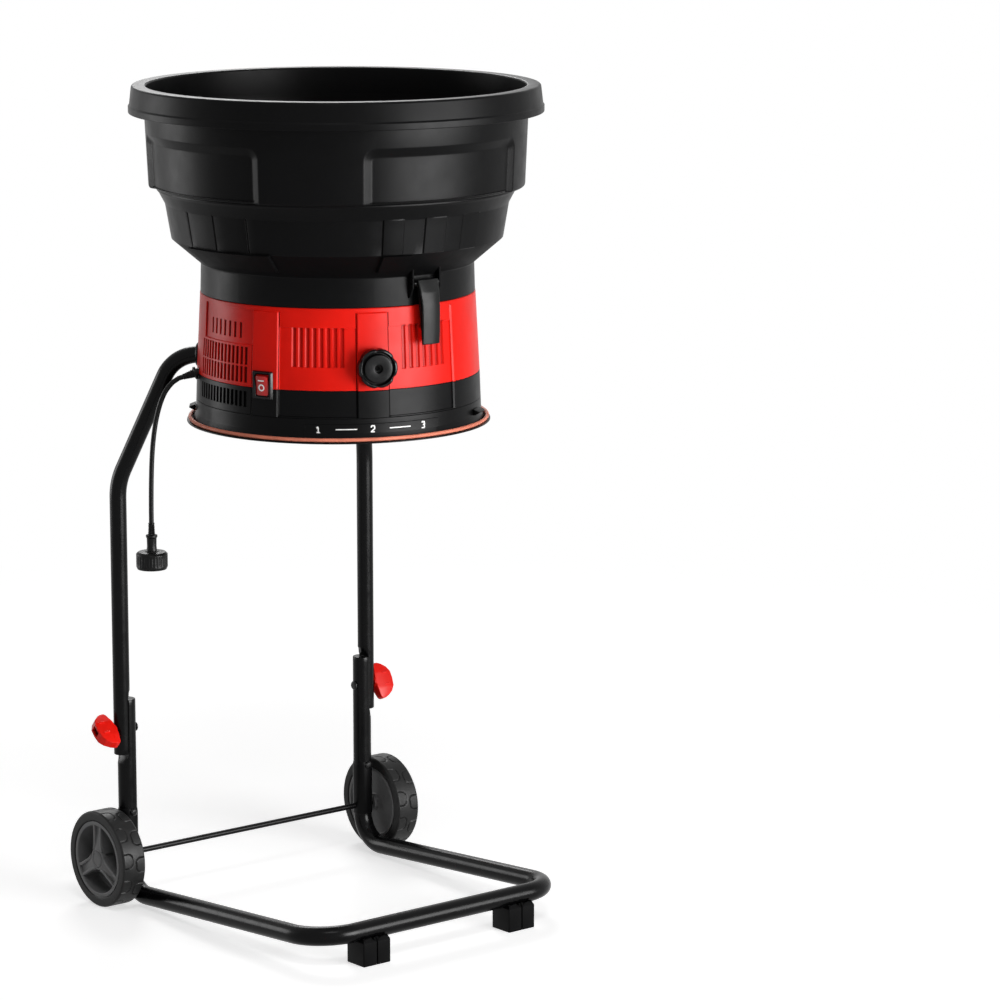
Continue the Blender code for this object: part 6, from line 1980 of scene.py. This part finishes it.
def footShape(side):
    # a block with bevelled shoulders, hollowed for the bar, and a groove down its front
    f = footLook
    half, deep, top = f["width"] / 2, f["depth"] / 2, f["top"]
    gap = f["groove"] / 2
    outline = filleted(
        [
            (-half, -deep), (-gap, -deep), (-gap, -deep + 0.0022), (gap, -deep + 0.0022),
            (gap, -deep), (half, -deep), (half, deep), (-half, deep),
        ],
        [0.0020, 0.0005, 0, 0, 0.0005, 0.0020, 0.0020, 0.0020], True, stepAngle=18,
    )
    levels = [
        (0.0, 0.0010), (0.0003, 0.0003), (0.0010, 0.0), (top - 0.0060, 0.0),
        (top - 0.0030, 0.0026), (top, 0.0052),
    ]
    block = slab(outline, levels)
    return block.moved(Matrix.Translation((side * f["x"], frameLook["frontY"], 0)))


for hand, side in (("left", -1), ("right", 1)):
    sleeve, node = bracketShape(side), "axle_bracket_" + hand
    makePiece("axleBracket_" + hand, sleeve, "stand", "housing_black", node)
    place = facing((side * frameLook["x"], frameLook["backY"], bracketLook["boltZ"]), (0, -1, 0))
    bolt, node = bracketBolt().moved(place), "bracket_bolt_" + hand
    makePiece("bracketBolt_" + hand, bolt, "stand", "steel", node, look="boltBlack")
    foot, node = footShape(side), "foot_" + hand
    makePiece("foot_" + hand + "_block", foot, "stand", "housing_black", node, sharp=28)


# CAD nodes that stay get the finish of their slot
print("stage: finishes")

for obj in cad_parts.values():
    for slot in obj.material_slots:
        name = slot.material.name if slot.material else ""
        found = next((look for key, look in slotLooks.items() if key in name), "housingBlack")
        slot.material = looks[found]


# floor, backdrop and light
print("stage: studio")

# a lamp's azimuth and its rise over the horizon are in degrees, its size in metres
studioLook = {
    "floorTone": 0.80,
    "lift": 0.60,
    "fade": (1.1, 2.6),
    "reach": 14.0,
    "airForObject": 0.14,
    "aim": (0, 0, 0.7),
    "lamps": {
        "key": {"azimuth": 12.0, "rise": 2.4, "away": 3.8, "size": (2.0, 1.66), "power": 118.0},
        "sheen": {"azimuth": 20.0, "rise": 4.6, "away": 3.9, "size": (3.0, 2.00), "power": 340.0},
        "front": {"azimuth": -32.0, "rise": 52.0, "away": 5.0, "size": (1.8, 0.8), "power": 46.0},
        "edge": {"azimuth": -147.0, "rise": 3.0, "away": 3.6, "size": (1.5, 1.6), "power": 55.0},
        "rear": {"azimuth": 150.0, "rise": 30.0, "away": 4.8, "size": (1.6, 1.2), "power": 70.0},
    },
    "onlyInReflections": ("sheen", "edge"),
}


def floorLook():
    # lit and shadowed near the object, plain white further out; the camera, reflections and
    # clear materials see it lifted to white, and everything else sees a pale floor
    look = Look("studioFloor")
    tone = studioLook["floorTone"]
    look.set(Base_Color=(tone, tone, tone, 1.0), Roughness=0.7, Specular_IOR_Level=0.0)
    byCamera, byGloss, byClear = look.seenPlain()
    seen = byCamera + byGloss + byClear
    away = look.node("VectorMath", {"operation": "LENGTH"}, {0: look.place()}, output=1)
    near, far = studioLook["fade"]
    ends = {"Value": away, "From Min": near, "From Max": far}
    faded = look.node("MapRange", {"interpolation_type": "SMOOTHSTEP"}, ends)
    white = (1, 1, 1, 1)
    glow = look.node("Emission", sockets={"Color": white, "Strength": 1.0})
    lift = look.node("Emission", sockets={"Color": white, "Strength": seen * studioLook["lift"]})
    lifted = look.node("AddShader", sockets={0: Wire(look, look.shader.outputs[0]), 1: lift})
    mixed = look.node("MixShader", sockets={0: faded * seen, 1: lifted, 2: glow})
    out = look.tree.nodes["Material Output"]
    look.tree.links.new(mixed.socket, out.inputs["Surface"])
    return look.material


floorData = bpy.data.meshes.new("studioFloor")
reach = studioLook["reach"]
corners = [(-reach, -reach, 0), (reach, -reach, 0), (reach, reach, 0), (-reach, reach, 0)]
floorData.from_pydata(corners, [], [(0, 1, 2, 3)])
floorData.materials.append(floorLook())
floor = bpy.data.objects.new("studioFloor", floorData)
bpy.context.scene.collection.objects.link(floor)

world = bpy.data.worlds.new("studioAir")
bpy.context.scene.world = world
air = Graph(world)
byCamera, byGloss, byClear = air.seenPlain()
seen = byCamera.either(byGloss).either(byClear)
sky = air.tree.nodes["Background"]
air.feed(sky.inputs["Color"], (1, 1, 1, 1))
strength = {"Value": seen, "To Min": studioLook["airForObject"], "To Max": 1.0}
air.feed(sky.inputs["Strength"], air.node("MapRange", sockets=strength))

for name, lamp in studioLook["lamps"].items():
    data = bpy.data.lights.new(name + "Lamp", "AREA")
    data.shape = "RECTANGLE"
    data.size, data.size_y = lamp["size"]
    data.energy = lamp["power"]
    light = bpy.data.objects.new(name + "Lamp", data)
    aim, rise = Vector(studioLook["aim"]), math.radians(lamp["rise"])
    out = radial(lamp["azimuth"]) * math.cos(rise) + Vector((0, 0, math.sin(rise)))
    light.location = aim + out * lamp["away"]
    light.rotation_euler = (aim - light.location).to_track_quat("-Z", "Y").to_euler()
    light.visible_diffuse = name not in studioLook["onlyInReflections"]
    bpy.context.scene.collection.objects.link(light)

bpy.context.scene.view_settings.view_transform = "Standard"

print("stage: done")
